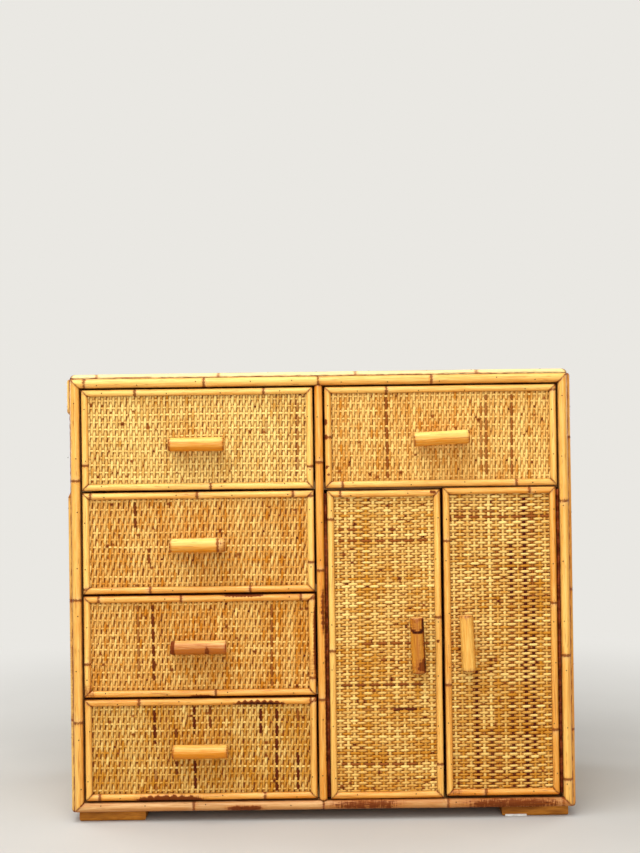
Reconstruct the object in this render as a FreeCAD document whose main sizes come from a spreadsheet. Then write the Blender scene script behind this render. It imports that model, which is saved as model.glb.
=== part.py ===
import FreeCAD, Part
import os
import re

import Sketcher

# Sideboard faced with split poles and woven cane, in millimetres.
# Four drawers on the left, one drawer over two doors on the right.
# X runs along the front, Y from front to back, Z up. The origin is on the floor,
# in the middle of the footprint that the case and the pulls take together.

# Driving sizes: alias, value and what the size is.
DRIVING = [
    ("case_width", "977", "across the woven sides, without their poles"),
    ("case_depth", "420", "front edges of the boards to the back of the back panel"),
    ("opening_height", "813", "between the bottom rail and the top rail"),
    ("board_thickness", "16", "sides, top, bottom, partition and shelves"),
    ("weave_thickness", "2.5", "woven cane mat"),
    ("back_thickness", "6", "back panel"),
    ("side_pole", "14", "width of the split poles on the sides"),
    ("top_pole", "18", "width of the split poles on the top"),
    ("frame_pole", "13.5", "width of the split poles round drawers and doors"),
    ("front_thickness", "15", "boards of the drawer fronts and doors"),
    ("edge_gap", "3", "under the lowest and over the highest front"),
    ("front_gap", "4", "between one front and the next above it"),
    ("side_gap", "3.5", "on each side of a drawer front"),
    ("hinge_gap", "6.5", "between a door and the board that it hangs on"),
    ("meeting_gap", "5", "between the two doors"),
    ("door_stagger", "3", "how much lower the left door hangs than the right one"),
    ("pull_diameter", "27", "round pole of a pull"),
    ("pull_length", "108", "round pole of a pull"),
    ("pull_spacer", "10", "gap behind a pull"),
    ("spacer_diameter", "14", "wooden spacer behind a pull"),
    ("spacer_span", "64", "between the two spacers of a pull"),
    ("left_pull_inset", "49", "left door's meeting edge to the middle of its pull"),
    ("right_pull_inset", "43", "right door's meeting edge to the middle of its pull"),
    ("top_pull_drop", "10", "top left pull below the middle of its drawer"),
    ("screw_diameter", "4", "screws of the pulls"),
    ("screw_head", "8", "head diameter"),
    ("head_height", "2.5", "head height"),
    ("screw_bite", "14", "length of screw inside the pull"),
    ("hole_clearance", "0.1", "between a screw and its hole, all round"),
    ("box_wall", "12", "sides and back of a drawer box"),
    ("box_height", "140", "sides of a drawer box"),
    ("box_length", "384", "drawer box behind its front"),
    ("box_bottom", "4", "drawer bottom, nailed on from below"),
    ("box_lift", "12", "drawer bottom above the lower edge of its front"),
    ("box_gap", "6", "between a drawer box and the side of its bay"),
    ("runner_width", "18", "strip that a drawer slides on"),
    ("runner_height", "14", "strip that a drawer slides on"),
    ("slide_clearance", "0.2", "between pieces that slide past each other"),
    ("shelf_level", "290", "cupboard shelf above the bottom board"),
    ("shelf_setback", "40", "cupboard shelf behind the doors"),
    ("cleat_width", "16", "strip under the cupboard shelf"),
    ("cleat_height", "20", "strip under the cupboard shelf"),
    ("knuckle_diameter", "5.5", "continuous hinge"),
    ("knuckle_pitch", "11", "continuous hinge, one knuckle and its gap"),
    ("knuckle_gap", "0.4", "between one knuckle and the next"),
    ("leaf_thickness", "1", "hinge leaf"),
    ("leaf_width", "15", "flat part of a hinge leaf"),
    ("leaf_clearance", "0.45", "between a knuckle and the flat of the other leaf"),
    ("hinge_margin", "3", "least length of door edge beyond the hinge"),
    ("pin_diameter", "2.4", "hinge pin"),
    ("pin_clearance", "0.05", "between the pin and a knuckle, all round"),
    ("catch_length", "44", "magnetic catch"),
    ("catch_depth", "16", "magnetic catch"),
    ("catch_height", "14", "magnetic catch"),
    ("catch_inset", "60", "door's meeting edge to the middle of its catch"),
    ("strike_length", "30", "plate that the magnet holds"),
    ("strike_height", "9", "plate that the magnet holds"),
    ("strike_thickness", "1.2", "plate that the magnet holds"),
    ("catch_clearance", "0.3", "between a catch and its plate"),
    ("foot_height", "20", "floor to the bottom board"),
    ("foot_width", "130", "along the front"),
    ("foot_depth", "60", "front to back"),
    ("foot_inset", "8", "foot inside the woven side"),
    ("foot_setback", "5", "foot behind the front edges of the boards"),
    ("foot_round", "5", "rounding of the lower edges of a foot"),
    ("glide_width", "42", "pale strip let into the right front foot"),
    ("glide_height", "4", "pale strip let into the right front foot"),
    ("glide_inset", "6", "pale strip from the inner end of its foot"),
]

# Drawers in the left bay, one above the other.
ROWS = 4

# Sizes and places that follow from the driving sizes, in order.
LAYOUT = [
    # The front poles cover the edge of a board and of the mat on it.
    ("face_pole", "board_thickness + weave_thickness"),
    ("case_half", "case_width / 2"),
    ("side_half", "case_half - weave_thickness"),
    ("inner_half", "case_half - face_pole"),
    ("inner_width", "2 * inner_half"),
    ("bay_width", "inner_half - board_thickness / 2"),
    ("right_bay", "board_thickness / 2"),
    ("z_base", "foot_height + board_thickness"),
    ("z_floor", "foot_height + face_pole"),
    ("z_head", "z_floor + opening_height"),
    ("z_lid", "z_head + board_thickness"),
    ("z_case", "z_head + face_pole"),
    ("side_height", "z_lid - foot_height"),
    ("face_height", "z_case - foot_height"),
    # The footprint is centred on Y = 0, so half of it lies before the origin.
    ("pull_reach", "pull_spacer + pull_diameter"),
    ("y_face", "(pull_reach - case_depth) / 2"),
    ("board_depth", "case_depth - back_thickness"),
    ("y_rear", "y_face + board_depth"),
    ("y_board", "y_face + weave_thickness"),
    ("y_inside", "y_board + front_thickness"),
    ("y_runner", "y_inside + slide_clearance"),
    ("runner_length", "y_rear - y_runner"),
    ("y_pull", "y_face - pull_spacer - pull_diameter / 2"),
    # Equal drawers fill the height, and a door is as high as all but the top one.
    ("drawer_width", "bay_width - 2 * side_gap"),
    ("drawer_height", f"(opening_height - 2 * edge_gap - {ROWS - 1} * front_gap) / {ROWS}"),
    ("drawer_pitch", "drawer_height + front_gap"),
    ("z_first", "z_floor + edge_gap"),
    ("z_top_drawer", f"z_first + {ROWS - 1} * drawer_pitch"),
    ("box_width", "bay_width - 2 * box_gap"),
    ("box_inset", "box_gap - side_gap"),
    ("box_inner", "box_width - 2 * box_wall"),
    ("z_wall", "box_lift + box_bottom"),
    ("door_width", "(bay_width - 2 * hinge_gap - meeting_gap) / 2"),
    ("door_height", f"{ROWS - 1} * drawer_height + {ROWS - 2} * front_gap"),
    ("left_door_x", "right_bay + hinge_gap"),
    ("right_door_x", "left_door_x + door_width + meeting_gap"),
    ("left_door_z", "z_first - door_stagger / 2"),
    ("right_door_z", "z_first + door_stagger / 2"),
    # The top right drawer slides on the board that closes the cupboard.
    ("z_divider", "z_top_drawer + box_lift - slide_clearance - board_thickness"),
    ("z_shelf", "z_base + shelf_level"),
    ("y_shelf", "y_inside + shelf_setback"),
    ("shelf_depth", "y_rear - y_shelf"),
    ("screw_length", "screw_bite + pull_spacer + weave_thickness + front_thickness"),
    ("y_screw", "y_inside - screw_length"),
    ("hole_diameter", "screw_diameter + 2 * hole_clearance"),
    ("y_hole", "y_screw - hole_clearance"),
    ("hole_length", "screw_length + 2 * hole_clearance"),
    # The pin stands in front of the boards, half a knuckle out.
    ("left_pin_x", "right_bay + hinge_gap / 2"),
    ("right_pin_x", "inner_half - hinge_gap / 2"),
    ("y_pin", "y_face - knuckle_diameter / 2"),
    ("leaf_start", "knuckle_diameter / 2 + leaf_clearance"),
    ("knuckle_pairs", "floor((door_height - 2 * hinge_margin) / (2 * knuckle_pitch))"),
    ("hinge_length", "2 * knuckle_pitch * knuckle_pairs"),
    ("hinge_end", "(door_height - hinge_length) / 2"),
    ("y_catch", "y_inside + strike_thickness + catch_clearance"),
    ("z_catch", "z_divider - catch_height"),
    ("z_strike", "z_catch + (catch_height - strike_height) / 2"),
    ("foot_x", "case_half - foot_inset - foot_width"),
    ("y_front_foot", "y_face + foot_setback"),
    ("y_rear_foot", "y_rear - foot_setback - foot_depth"),
]

KNOWN = {alias: "sizes" for alias, _, _ in DRIVING}
KNOWN.update({alias: "places" for alias, _ in LAYOUT})
WORD = re.compile(r"[a-z][a-z_]*")

X_AXIS = FreeCAD.Vector(1, 0, 0)
Y_AXIS = FreeCAD.Vector(0, 1, 0)
Z_AXIS = FreeCAD.Vector(0, 0, 1)

# Turns a shape whose axis is local Z so that the axis lies along X, Y or Z.
ALONG = {
    "x": FreeCAD.Rotation(Y_AXIS, 90),
    "y": FreeCAD.Rotation(X_AXIS, -90),
    "z": FreeCAD.Rotation(),
}

# Turns a flat frame, drawn in local XY with its crest towards local Z, onto a face.
ON_FRONT = FreeCAD.Rotation(X_AXIS, 90)
ON_TOP = FreeCAD.Rotation()
ON_RIGHT = FreeCAD.Rotation(Y_AXIS, Z_AXIS, X_AXIS, "XYZ")
ON_LEFT = FreeCAD.Rotation(-Y_AXIS, Z_AXIS, -X_AXIS, "XYZ")
END_OVER_END = FreeCAD.Rotation(Y_AXIS, 180)

doc = FreeCAD.newDocument("sideboard")
nodes = []


def qualified(text):
    """Puts each alias's sheet in front of it."""

    def with_sheet(match):
        word = match.group(0)
        return f"{KNOWN[word]}.{word}" if word in KNOWN else word

    return WORD.sub(with_sheet, str(text))


def fill_sheet(name, rows):
    """Writes rows of alias, content and note to a sheet of that name."""
    sheet = doc.addObject("Spreadsheet::Sheet", name)
    for number, (alias, content, note) in enumerate(rows, start=1):
        sheet.set(f"A{number}", alias)
        sheet.set(f"B{number}", content)
        sheet.setAlias(f"B{number}", alias)
        sheet.set(f"C{number}", note)
    doc.recompute()
    return sheet


def bind(obj, **properties):
    """Binds properties of an object to expressions in the aliases."""
    for name, text in properties.items():
        obj.setExpression(name, qualified(text))
    return obj


def place(obj, corner, rotation=None):
    """Turns an object and binds its position."""
    obj.Placement = FreeCAD.Placement(FreeCAD.Vector(), rotation or FreeCAD.Rotation())
    for axis, text in zip("xyz", corner):
        obj.setExpression(f"Placement.Base.{axis}", qualified(text))
    return obj


def node(label, obj):
    """Gives a finished piece its name."""
    obj.Label = label
    nodes.append(obj)
    return obj


def block(name, size, corner):
    """Box with its lowest corner at a given place."""
    box = doc.addObject("Part::Box", name)
    bind(box, Length=size[0], Width=size[1], Height=size[2])
    return place(box, corner)


def rod(name, axis, diameter, length, start):
    """Cylinder that starts at a place and runs along an axis."""
    cylinder = doc.addObject("Part::Cylinder", name)
    bind(cylinder, Radius=f"({diameter}) / 2", Height=length)
    return place(cylinder, start, ALONG[axis])


def boolean(kind, name, base, tool):
    """Cut, Common or Fuse of two objects."""
    result = doc.addObject(f"Part::{kind}", name)
    result.Base = base
    result.Tool = tool
    return result


def group(name, pieces):
    """Several separate solids as one object."""
    compound = doc.addObject("Part::Compound", name)
    compound.Links = pieces
    return compound


def split_pole(name, width, length, start, along, mitres=(True, True)):
    """Half-round pole on the local XY plane, mitred at 45 degrees or cut square at each end.

    Its outer edge starts at a place and runs along a direction, with the pole on the right.
    """
    forward = FreeCAD.Vector(along[0], along[1], 0)
    inward = FreeCAD.Vector(along[1], -along[0], 0)
    half = doc.addObject("Part::Cylinder", f"{name}_round")
    half.Angle = 180
    bind(half, Radius=f"({width}) / 2", Height=f"{length} + 2 * ({width})")
    middle = [
        f"{origin} + ({int(i)}) * ({width}) / 2 - ({int(f)}) * ({width})"
        for origin, i, f in zip((*start, "0"), inward, forward)
    ]
    place(half, middle, FreeCAD.Rotation(Z_AXIS.cross(forward), Z_AXIS, forward, "XYZ"))
    # The outline of the cut pole seen from the front, which is a trapezium.
    outline = doc.addObject("Part::Wedge", f"{name}_outline")
    bind(
        outline,
        Xmin=f"-({width})",
        Xmax=width,
        X2min=f"-({width})",
        X2max=width,
        Ymin=f"-({width})",
        Ymax=f"2 * ({width})",
        Zmin=f"-({width})" if mitres[0] else "0",
        Z2min=f"2 * ({width})" if mitres[0] else "0",
        Zmax=f"{length} + ({width})" if mitres[1] else length,
        Z2max=f"{length} - 2 * ({width})" if mitres[1] else length,
    )
    place(outline, (*start, "0"), FreeCAD.Rotation(Z_AXIS, inward, forward, "XYZ"))
    return boolean("Common", name, half, outline)


def mitred_frame(name, width, height, pole, corner, rotation):
    """Four split poles round a rectangle, laid on a face with its lower left corner at a place."""
    runs = [
        ("lower", width, (width, "0"), (-1, 0)),
        ("left", height, ("0", "0"), (0, 1)),
        ("upper", width, ("0", height), (1, 0)),
        ("right", height, (width, height), (0, -1)),
    ]
    poles = [split_pole(f"{name}_{side}", pole, *run) for side, *run in runs]
    return place(group(name, poles), corner, rotation)


def draw_rectangle(sketch, left, right, low, high):
    """Rectangle whose four sides are dimensioned from the sketch's origin."""
    xs = [sketch.evalExpression(qualified(text)) for text in (left, right, right, left)]
    ys = [sketch.evalExpression(qualified(text)) for text in (low, low, high, high)]
    points = [FreeCAD.Vector(x, y, 0) for x, y in zip(xs, ys)]
    for start, end in zip(points, points[1:] + points[:1]):
        sketch.addGeometry(Part.LineSegment(start, end))
    for line in range(4):
        sketch.addConstraint(Sketcher.Constraint("Coincident", line, 2, (line + 1) % 4, 1))
        flat = "Horizontal" if line % 2 == 0 else "Vertical"
        sketch.addConstraint(Sketcher.Constraint(flat, line))
    sides = [
        ("left", "DistanceX", 0, 1, left, xs[0]),
        ("right", "DistanceX", 1, 1, right, xs[1]),
        ("low", "DistanceY", 0, 1, low, ys[0]),
        ("high", "DistanceY", 2, 1, high, ys[2]),
    ]
    for label, kind, line, end, text, value in sides:
        index = sketch.addConstraint(Sketcher.Constraint(kind, -1, 1, line, end, value))
        sketch.renameConstraint(index, label)
        sketch.setExpression(f"Constraints.{label}", qualified(text))


def draw_circle(sketch, label, diameter):
    """Circle round the sketch's origin."""
    value = sketch.evalExpression(qualified(diameter))
    index = sketch.addGeometry(Part.Circle(FreeCAD.Vector(), Z_AXIS, value / 2))
    sketch.addConstraint(Sketcher.Constraint("Coincident", index, 3, -1, 1))
    size = sketch.addConstraint(Sketcher.Constraint("Diameter", index, value))
    sketch.renameConstraint(size, label)
    sketch.setExpression(f"Constraints.{label}", qualified(diameter))


def origin_feature(body, role):
    """Plane or axis of a body's own origin."""
    return next(item for item in body.Origin.OriginFeatures if item.Role == role)


def level_sketch(body, name, level="0"):
    """Sketch on a body's XY plane, raised to a level."""
    sketch = body.newObject("Sketcher::SketchObject", name)
    sketch.AttachmentSupport = [(origin_feature(body, "XY_Plane"), "")]
    sketch.MapMode = "FlatFace"
    sketch.setExpression("AttachmentOffset.Base.z", qualified(level))
    return sketch


def pad(body, name, sketch, length):
    """Pad of a sketch, straight up."""
    feature = body.newObject("PartDesign::Pad", name)
    feature.Profile = sketch
    return bind(feature, Length=length)


def hinge_leaf(name, corner, rotation=None):
    """One leaf of a continuous hinge round its pin, which stands on the local Z axis.

    The flat lies on the side of positive X. It carries every second knuckle, and the same
    leaf turned end over end carries the others.
    """
    body = doc.addObject("PartDesign::Body", name)
    inner = "hinge_gap / 2 - leaf_thickness"
    outer = "hinge_gap / 2"
    flat = level_sketch(body, f"{name}_flat_outline")
    draw_rectangle(flat, inner, outer, "leaf_start", "leaf_start + leaf_width")
    pad(body, f"{name}_flat", flat, "hinge_length")
    web = level_sketch(body, f"{name}_web_outline", "knuckle_gap / 2")
    draw_rectangle(web, inner, outer, "0", "leaf_start + leaf_thickness")
    web_pad = pad(body, f"{name}_web", web, "knuckle_pitch - knuckle_gap")
    ring = level_sketch(body, f"{name}_ring_outline", "knuckle_gap / 2")
    draw_circle(ring, "outside", "knuckle_diameter")
    draw_circle(ring, "bore", "pin_diameter + 2 * pin_clearance")
    ring_pad = pad(body, f"{name}_ring", ring, "knuckle_pitch - knuckle_gap")
    doc.recompute()
    repeat = body.newObject("PartDesign::LinearPattern", f"{name}_knuckles")
    repeat.Originals = [web_pad, ring_pad]
    repeat.Direction = (origin_feature(body, "Z_Axis"), [""])
    bind(repeat, Length="2 * knuckle_pitch * (knuckle_pairs - 1)", Occurrences="knuckle_pairs")
    body.Tip = repeat
    return place(body, corner, rotation)


def foot(name, corner):
    """Foot block with its lower edges rounded."""
    body = doc.addObject("PartDesign::Body", name)
    outline = level_sketch(body, f"{name}_outline")
    draw_rectangle(outline, "0", "foot_width", "0", "foot_depth")
    block_pad = pad(body, f"{name}_block", outline, "foot_height")
    doc.recompute()
    edges = block_pad.Shape.Edges
    lower = [f"Edge{i}" for i, edge in enumerate(edges, start=1) if edge.BoundBox.ZMax < 1e-6]
    rounding = body.newObject("PartDesign::Fillet", f"{name}_rounding")
    rounding.Base = (block_pad, lower)
    bind(rounding, Radius="foot_round")
    body.Tip = rounding
    return place(body, corner)


def pull_with_spacers(name, axis, middle):
    """Round pole on two spacers, with its two screws, and the drill for the screws' holes.

    The middle is given as X and Z from the lower left corner of the front.
    """
    x, z = middle
    along_x = axis == "x"
    back = (f"{x} - pull_length / 2" if along_x else x, "y_pull", z if along_x else f"{z} - pull_length / 2")
    pole = rod(f"{name}_pole", axis, "pull_diameter", "pull_length", back)
    drills = []
    screws = []
    posts = []
    for number, side in enumerate(("-", "+"), start=1):
        shift = f"{side} spacer_span / 2"
        at_x = f"{x} {shift}" if along_x else x
        at_z = z if along_x else f"{z} {shift}"
        drill = rod(f"{name}_drill_{number}", "y", "hole_diameter", "hole_length", (at_x, "y_hole", at_z))
        shank = rod(f"{name}_shank_{number}", "y", "screw_diameter", "screw_length", (at_x, "y_screw", at_z))
        head = rod(f"{name}_head_{number}", "y", "screw_head", "head_height", (at_x, "y_inside", at_z))
        screws.append(boolean("Fuse", f"{name}_screw_{number}", shank, head))
        stub = rod(f"{name}_stub_{number}", "y", "spacer_diameter", "y_face - y_pull", (at_x, "y_pull", at_z))
        saddle = boolean("Cut", f"{name}_saddle_{number}", stub, pole)
        posts.append(boolean("Cut", f"{name}_spacer_{number}", saddle, drill))
        drills.append(drill)
    drill_pair = group(f"{name}_drills", drills)
    drilled_pole = boolean("Cut", f"{name}_drilled", pole, drill_pair)
    return group(f"{name}_set", [drilled_pole, *posts]), screws, drill_pair


def faced_front(name, width, height, axis, middle, corner):
    """Board, woven mat, pole frame and pull of a drawer or a door.

    The pieces are drawn from the front's lower left corner, which is then put in its place.
    Returns the screws of the pull, which stay unplaced.
    """
    x, z = corner
    shift = (x, "0", z)
    pull, screws, drill = pull_with_spacers(f"{name}_pull", axis, middle)
    board = block(f"{name}_blank", (width, "front_thickness", height), ("0", "y_board", "0"))
    mat = block(f"{name}_mat", (width, "weave_thickness", height), ("0", "y_face", "0"))
    node(f"{name}_front_board", place(boolean("Cut", f"{name}_board", board, drill), shift))
    node(f"{name}_weave", place(boolean("Cut", f"{name}_cover", mat, drill), shift))
    frame = mitred_frame(f"{name}_frame", width, height, "frame_pole", (x, "y_face", z), ON_FRONT)
    node(f"{name}_frame_poles", frame)
    node(f"{name}_pull", place(pull, shift))
    return screws


def drawer(name, bay, row, pull_drop="0"):
    """Drawer of a bay, counted in rows from the bottom."""
    corner = (f"{bay} + side_gap", f"z_first + {row} * drawer_pitch")
    shift = (corner[0], "0", corner[1])
    middle = ("drawer_width / 2", f"drawer_height / 2 - {pull_drop}")
    screws = faced_front(name, "drawer_width", "drawer_height", "x", middle, corner)
    node(f"{name}_pull_screws", place(group(f"{name}_screws", screws), shift))
    right_wall = "box_inset + box_width - box_wall"
    wall = ("box_wall", "box_length", "box_height")
    walls = [
        block(f"{name}_left_wall", wall, ("box_inset", "y_inside", "z_wall")),
        block(f"{name}_right_wall", wall, (right_wall, "y_inside", "z_wall")),
        block(
            f"{name}_back_wall",
            ("box_inner", "box_wall", "box_height"),
            ("box_inset + box_wall", "y_inside + box_length - box_wall", "z_wall"),
        ),
        block(
            f"{name}_bottom",
            ("box_width", "box_length", "box_bottom"),
            ("box_inset", "y_inside", "box_lift"),
        ),
    ]
    node(f"{name}_box", place(group(f"{name}_walls", walls), shift))


def door(name, corner, pull_x, strike_x, leaf):
    """Door with its pull, the plate for its catch and its leaf of the hinge."""
    x, z = corner
    middle = (pull_x, "door_height / 2")
    screws = faced_front(name, "door_width", "door_height", "z", middle, corner)
    plate = block(
        f"{name}_strike",
        ("strike_length", "strike_thickness", "strike_height"),
        (f"{strike_x} - strike_length / 2", "y_inside", f"z_strike - ({z})"),
    )
    fittings = group(f"{name}_metal", [*screws, plate])
    node(f"{name}_fittings", place(fittings, (x, "0", z)))
    node(f"{name}_hinge_leaf", leaf)


def case_boards():
    """Boards of the case, with the strips that carry drawers and shelf."""
    side = ("board_thickness", "board_depth", "side_height")
    node("left_side_panel", block("left_side", side, ("-side_half", "y_face", "foot_height")))
    node("right_side_panel", block("right_side", side, ("inner_half", "y_face", "foot_height")))
    across = ("inner_width", "board_depth", "board_thickness")
    node("top_panel", block("top_board", across, ("-inner_half", "y_face", "z_head")))
    node("bottom_panel", block("bottom_board", across, ("-inner_half", "y_face", "foot_height")))
    back = ("2 * side_half", "back_thickness", "side_height")
    node("back_panel", block("back_board", back, ("-side_half", "y_rear", "foot_height")))
    upright = ("board_thickness", "board_depth", "z_head - z_base")
    node("centre_partition", block("partition", upright, ("-right_bay", "y_face", "z_base")))
    divider = ("bay_width", "runner_length", "board_thickness")
    node("cupboard_top_board", block("divider", divider, ("right_bay", "y_runner", "z_divider")))
    shelf = ("bay_width", "shelf_depth", "board_thickness")
    node("cupboard_shelf", block("shelf", shelf, ("right_bay", "y_shelf", "z_shelf")))
    strips = []
    for row in range(ROWS):
        level = f"z_first + {row} * drawer_pitch + box_lift - slide_clearance - runner_height"
        for end, x in (("left", "-inner_half"), ("right", "-right_bay - runner_width")):
            size = ("runner_width", "runner_length", "runner_height")
            strips.append(block(f"runner_{row}_{end}", size, (x, "y_runner", level)))
    for end, x in (("left", "right_bay"), ("right", "inner_half - cleat_width")):
        size = ("cleat_width", "shelf_depth", "cleat_height")
        strips.append(block(f"cleat_{end}", size, (x, "y_shelf", "z_shelf - cleat_height")))
    node("runners_and_cleats", group("strips", strips))


def case_facing():
    """Woven mats and split poles on the outside of the case."""
    side = ("weave_thickness", "case_depth", "side_height")
    mats = [
        block("left_mat", side, ("-case_half", "y_face", "foot_height")),
        block("right_mat", side, ("side_half", "y_face", "foot_height")),
    ]
    node("side_weave", group("side_mats", mats))
    top = ("case_width", "case_depth", "weave_thickness")
    node("top_weave", block("top_mat", top, ("-case_half", "y_face", "z_lid")))
    # The top and bottom rails are each in two lengths that meet over the centre pole.
    joint = "case_half"
    runs = [
        ("left_stile", "face_pole", "face_height", ("0", "0"), (0, 1)),
        ("right_stile", "face_pole", "face_height", ("case_width", "face_height"), (0, -1)),
        ("top_rail_left", "face_pole", joint, ("0", "face_height"), (1, 0), (True, False)),
        ("top_rail_right", "face_pole", joint, (joint, "face_height"), (1, 0), (False, True)),
        ("bottom_rail_right", "face_pole", joint, ("case_width", "0"), (-1, 0), (True, False)),
        ("bottom_rail_left", "face_pole", joint, (joint, "0"), (-1, 0), (False, True)),
        (
            "centre_pole",
            "board_thickness",
            "opening_height",
            (f"{joint} - board_thickness / 2", "face_pole"),
            (0, 1),
            (False, False),
        ),
    ]
    face = group("face_poles", [split_pole(*run) for run in runs])
    place(face, ("-case_half", "y_face", "foot_height"), ON_FRONT)
    node("front_face_poles", face)
    lid = ("-case_half", "y_face", "z_case")
    node("top_edge_poles", mitred_frame("lid", "case_width", "case_depth", "top_pole", lid, ON_TOP))
    right = ("case_half", "y_face", "foot_height")
    left = ("-case_half", "y_face + case_depth", "foot_height")
    flank = ("case_depth", "face_height", "side_pole")
    flanks = [
        mitred_frame("right_flank", *flank, right, ON_RIGHT),
        mitred_frame("left_flank", *flank, left, ON_LEFT),
    ]
    node("side_edge_poles", group("flanks", flanks))


def feet_and_glide():
    """Four feet, with the pale strip let into the one at the right front."""
    far_left = "-foot_x - foot_width"
    right_front = foot("right_front_foot", ("foot_x", "y_front_foot", "0"))
    strip = ("glide_width", "foot_depth", "glide_height")
    glide = block("glide", strip, ("foot_x + glide_inset", "y_front_foot", "0"))
    feet = [
        boolean("Cut", "right_front_foot_housed", right_front, glide),
        foot("left_front_foot", (far_left, "y_front_foot", "0")),
        foot("right_rear_foot", ("foot_x", "y_rear_foot", "0")),
        foot("left_rear_foot", (far_left, "y_rear_foot", "0")),
    ]
    node("feet", group("foot_blocks", feet))
    node("foot_glide_strip", glide)


def drawers():
    """Drawers of the left bay, numbered from the top, and the one at the top of the right bay."""
    for number in range(1, ROWS + 1):
        drop = "top_pull_drop" if number == 1 else "0"
        drawer(f"left_drawer_{number}", "-inner_half", ROWS - number, drop)
    drawer("right_drawer", "right_bay", ROWS - 1)


def doors_and_hinges():
    """Two doors on continuous hinges, and what the case carries for them."""
    left_low = ("left_pin_x", "y_pin", "left_door_z + hinge_end")
    left_high = ("left_pin_x", "y_pin", "left_door_z + hinge_end + hinge_length")
    right_low = ("right_pin_x", "y_pin", "right_door_z + hinge_end")
    right_high = ("right_pin_x", "y_pin", "right_door_z + hinge_end + hinge_length")
    fixed = [
        hinge_leaf("left_fixed_leaf", left_high, END_OVER_END),
        hinge_leaf("right_fixed_leaf", right_low),
        rod("left_pin", "z", "pin_diameter", "hinge_length", left_low),
        rod("right_pin", "z", "pin_diameter", "hinge_length", right_low),
    ]
    node("hinge_case_leaves", group("case_leaves", fixed))
    pull_left = "door_width - left_pull_inset"
    plate_left = "door_width - catch_inset"
    left_leaf = hinge_leaf("left_door_leaf", left_low)
    right_leaf = hinge_leaf("right_door_leaf", right_high, END_OVER_END)
    door("left_door", ("left_door_x", "left_door_z"), pull_left, plate_left, left_leaf)
    door("right_door", ("right_door_x", "right_door_z"), "right_pull_inset", "catch_inset", right_leaf)
    catches = []
    for side, x in (("left", f"left_door_x + {plate_left}"), ("right", "right_door_x + catch_inset")):
        size = ("catch_length", "catch_depth", "catch_height")
        corner = (f"{x} - catch_length / 2", "y_catch", "z_catch")
        catches.append(block(f"{side}_catch", size, corner))
    node("door_catches", group("catches", catches))


def write_parts():
    """Checks every object and writes each piece to its file."""
    doc.recompute()
    broken = [obj.Name for obj in doc.Objects if {"Invalid", "Error"} & set(obj.State)]
    if broken:
        raise RuntimeError(f"objects that failed: {broken}")
    for piece in nodes:
        shape = piece.Shape
        if shape.isNull() or not shape.isValid() or not shape.Solids:
            raise RuntimeError(f"no valid solid: {piece.Label}")
    os.makedirs("parts", exist_ok=True)
    for piece in nodes:
        piece.Shape.exportStep(f"parts/{piece.Label}.step")
    print(f"{len(nodes)} pieces, {sum(len(piece.Shape.Solids) for piece in nodes)} solids")


sizes = fill_sheet("sizes", DRIVING)
places = fill_sheet("places", [(alias, f"={qualified(text)}", "") for alias, text in LAYOUT])
case_boards()
case_facing()
feet_and_glide()
drawers()
doors_and_hinges()
write_parts()
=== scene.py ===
"""Cane sideboard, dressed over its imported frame.

Split poles, woven mats, round pulls and pins are numpy surfaces that stand for their plain solids.
Boards, drawer boxes, hinges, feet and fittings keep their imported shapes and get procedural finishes.
"""

import math

import bpy
import numpy as np
from mathutils import Matrix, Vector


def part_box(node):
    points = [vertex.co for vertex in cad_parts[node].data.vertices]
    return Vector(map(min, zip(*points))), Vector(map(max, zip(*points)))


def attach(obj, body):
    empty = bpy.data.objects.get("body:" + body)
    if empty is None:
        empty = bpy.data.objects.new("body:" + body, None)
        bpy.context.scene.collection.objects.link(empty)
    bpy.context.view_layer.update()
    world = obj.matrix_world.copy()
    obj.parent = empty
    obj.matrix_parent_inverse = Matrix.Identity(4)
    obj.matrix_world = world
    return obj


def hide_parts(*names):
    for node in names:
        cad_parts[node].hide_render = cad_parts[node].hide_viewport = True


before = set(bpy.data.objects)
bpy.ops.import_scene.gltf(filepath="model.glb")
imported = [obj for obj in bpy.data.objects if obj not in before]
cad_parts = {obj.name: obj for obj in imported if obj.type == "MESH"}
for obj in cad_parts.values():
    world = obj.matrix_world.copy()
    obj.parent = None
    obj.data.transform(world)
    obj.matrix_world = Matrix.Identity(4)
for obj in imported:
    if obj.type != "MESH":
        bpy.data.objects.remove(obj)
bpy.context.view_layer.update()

MM = 0.001
FULL_TURN = 2 * math.pi
WAVE_SPREAD = (0.6, 1.8)
NEAR_PARALLEL = 0.7

# Split poles
CREST_POINTS = 13
STATION = 3.4 * MM
STATION_FROM_END = 0.5 * MM
RING_STATIONS = np.array([-3.2, -1.6, -0.8, 0.0, 0.8, 1.6, 3.2]) * MM
RING_BUMP = 0.035
RING_BUMP_REACH = 4.5 * MM
RING_GROOVE = 0.075
RING_GROOVE_REACH = 0.9 * MM
FAR_FROM_RINGS = 20 * MM
PALE_REACH = 5 * MM
PLAIN_BREADTH = 0.2
PLAIN_BITE = 0.6
TOOTH_POWER = 0.7
BOW_REACH = 0.25
# Painted shade on poles and pulls: a deeper tone on undersides and on right-hand sides.
PAINTED_UNDERSIDE_SHADE = 0.42
PAINTED_RIGHT_SIDE_SHADE = 0.3
POLE_UNEVEN = 0.018
POLE_UNEVEN_WAVE = 0.14
POLE_DRIFT = 0.25 * MM
POLE_DRIFT_WAVE = 0.3
SPLIT_ENDS = (3 * MM, 6 * MM)
SPLIT_DEPTH = 0.72
SPLIT_RAGGED = 0.12
SPLIT_WAVE = 0.012
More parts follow.
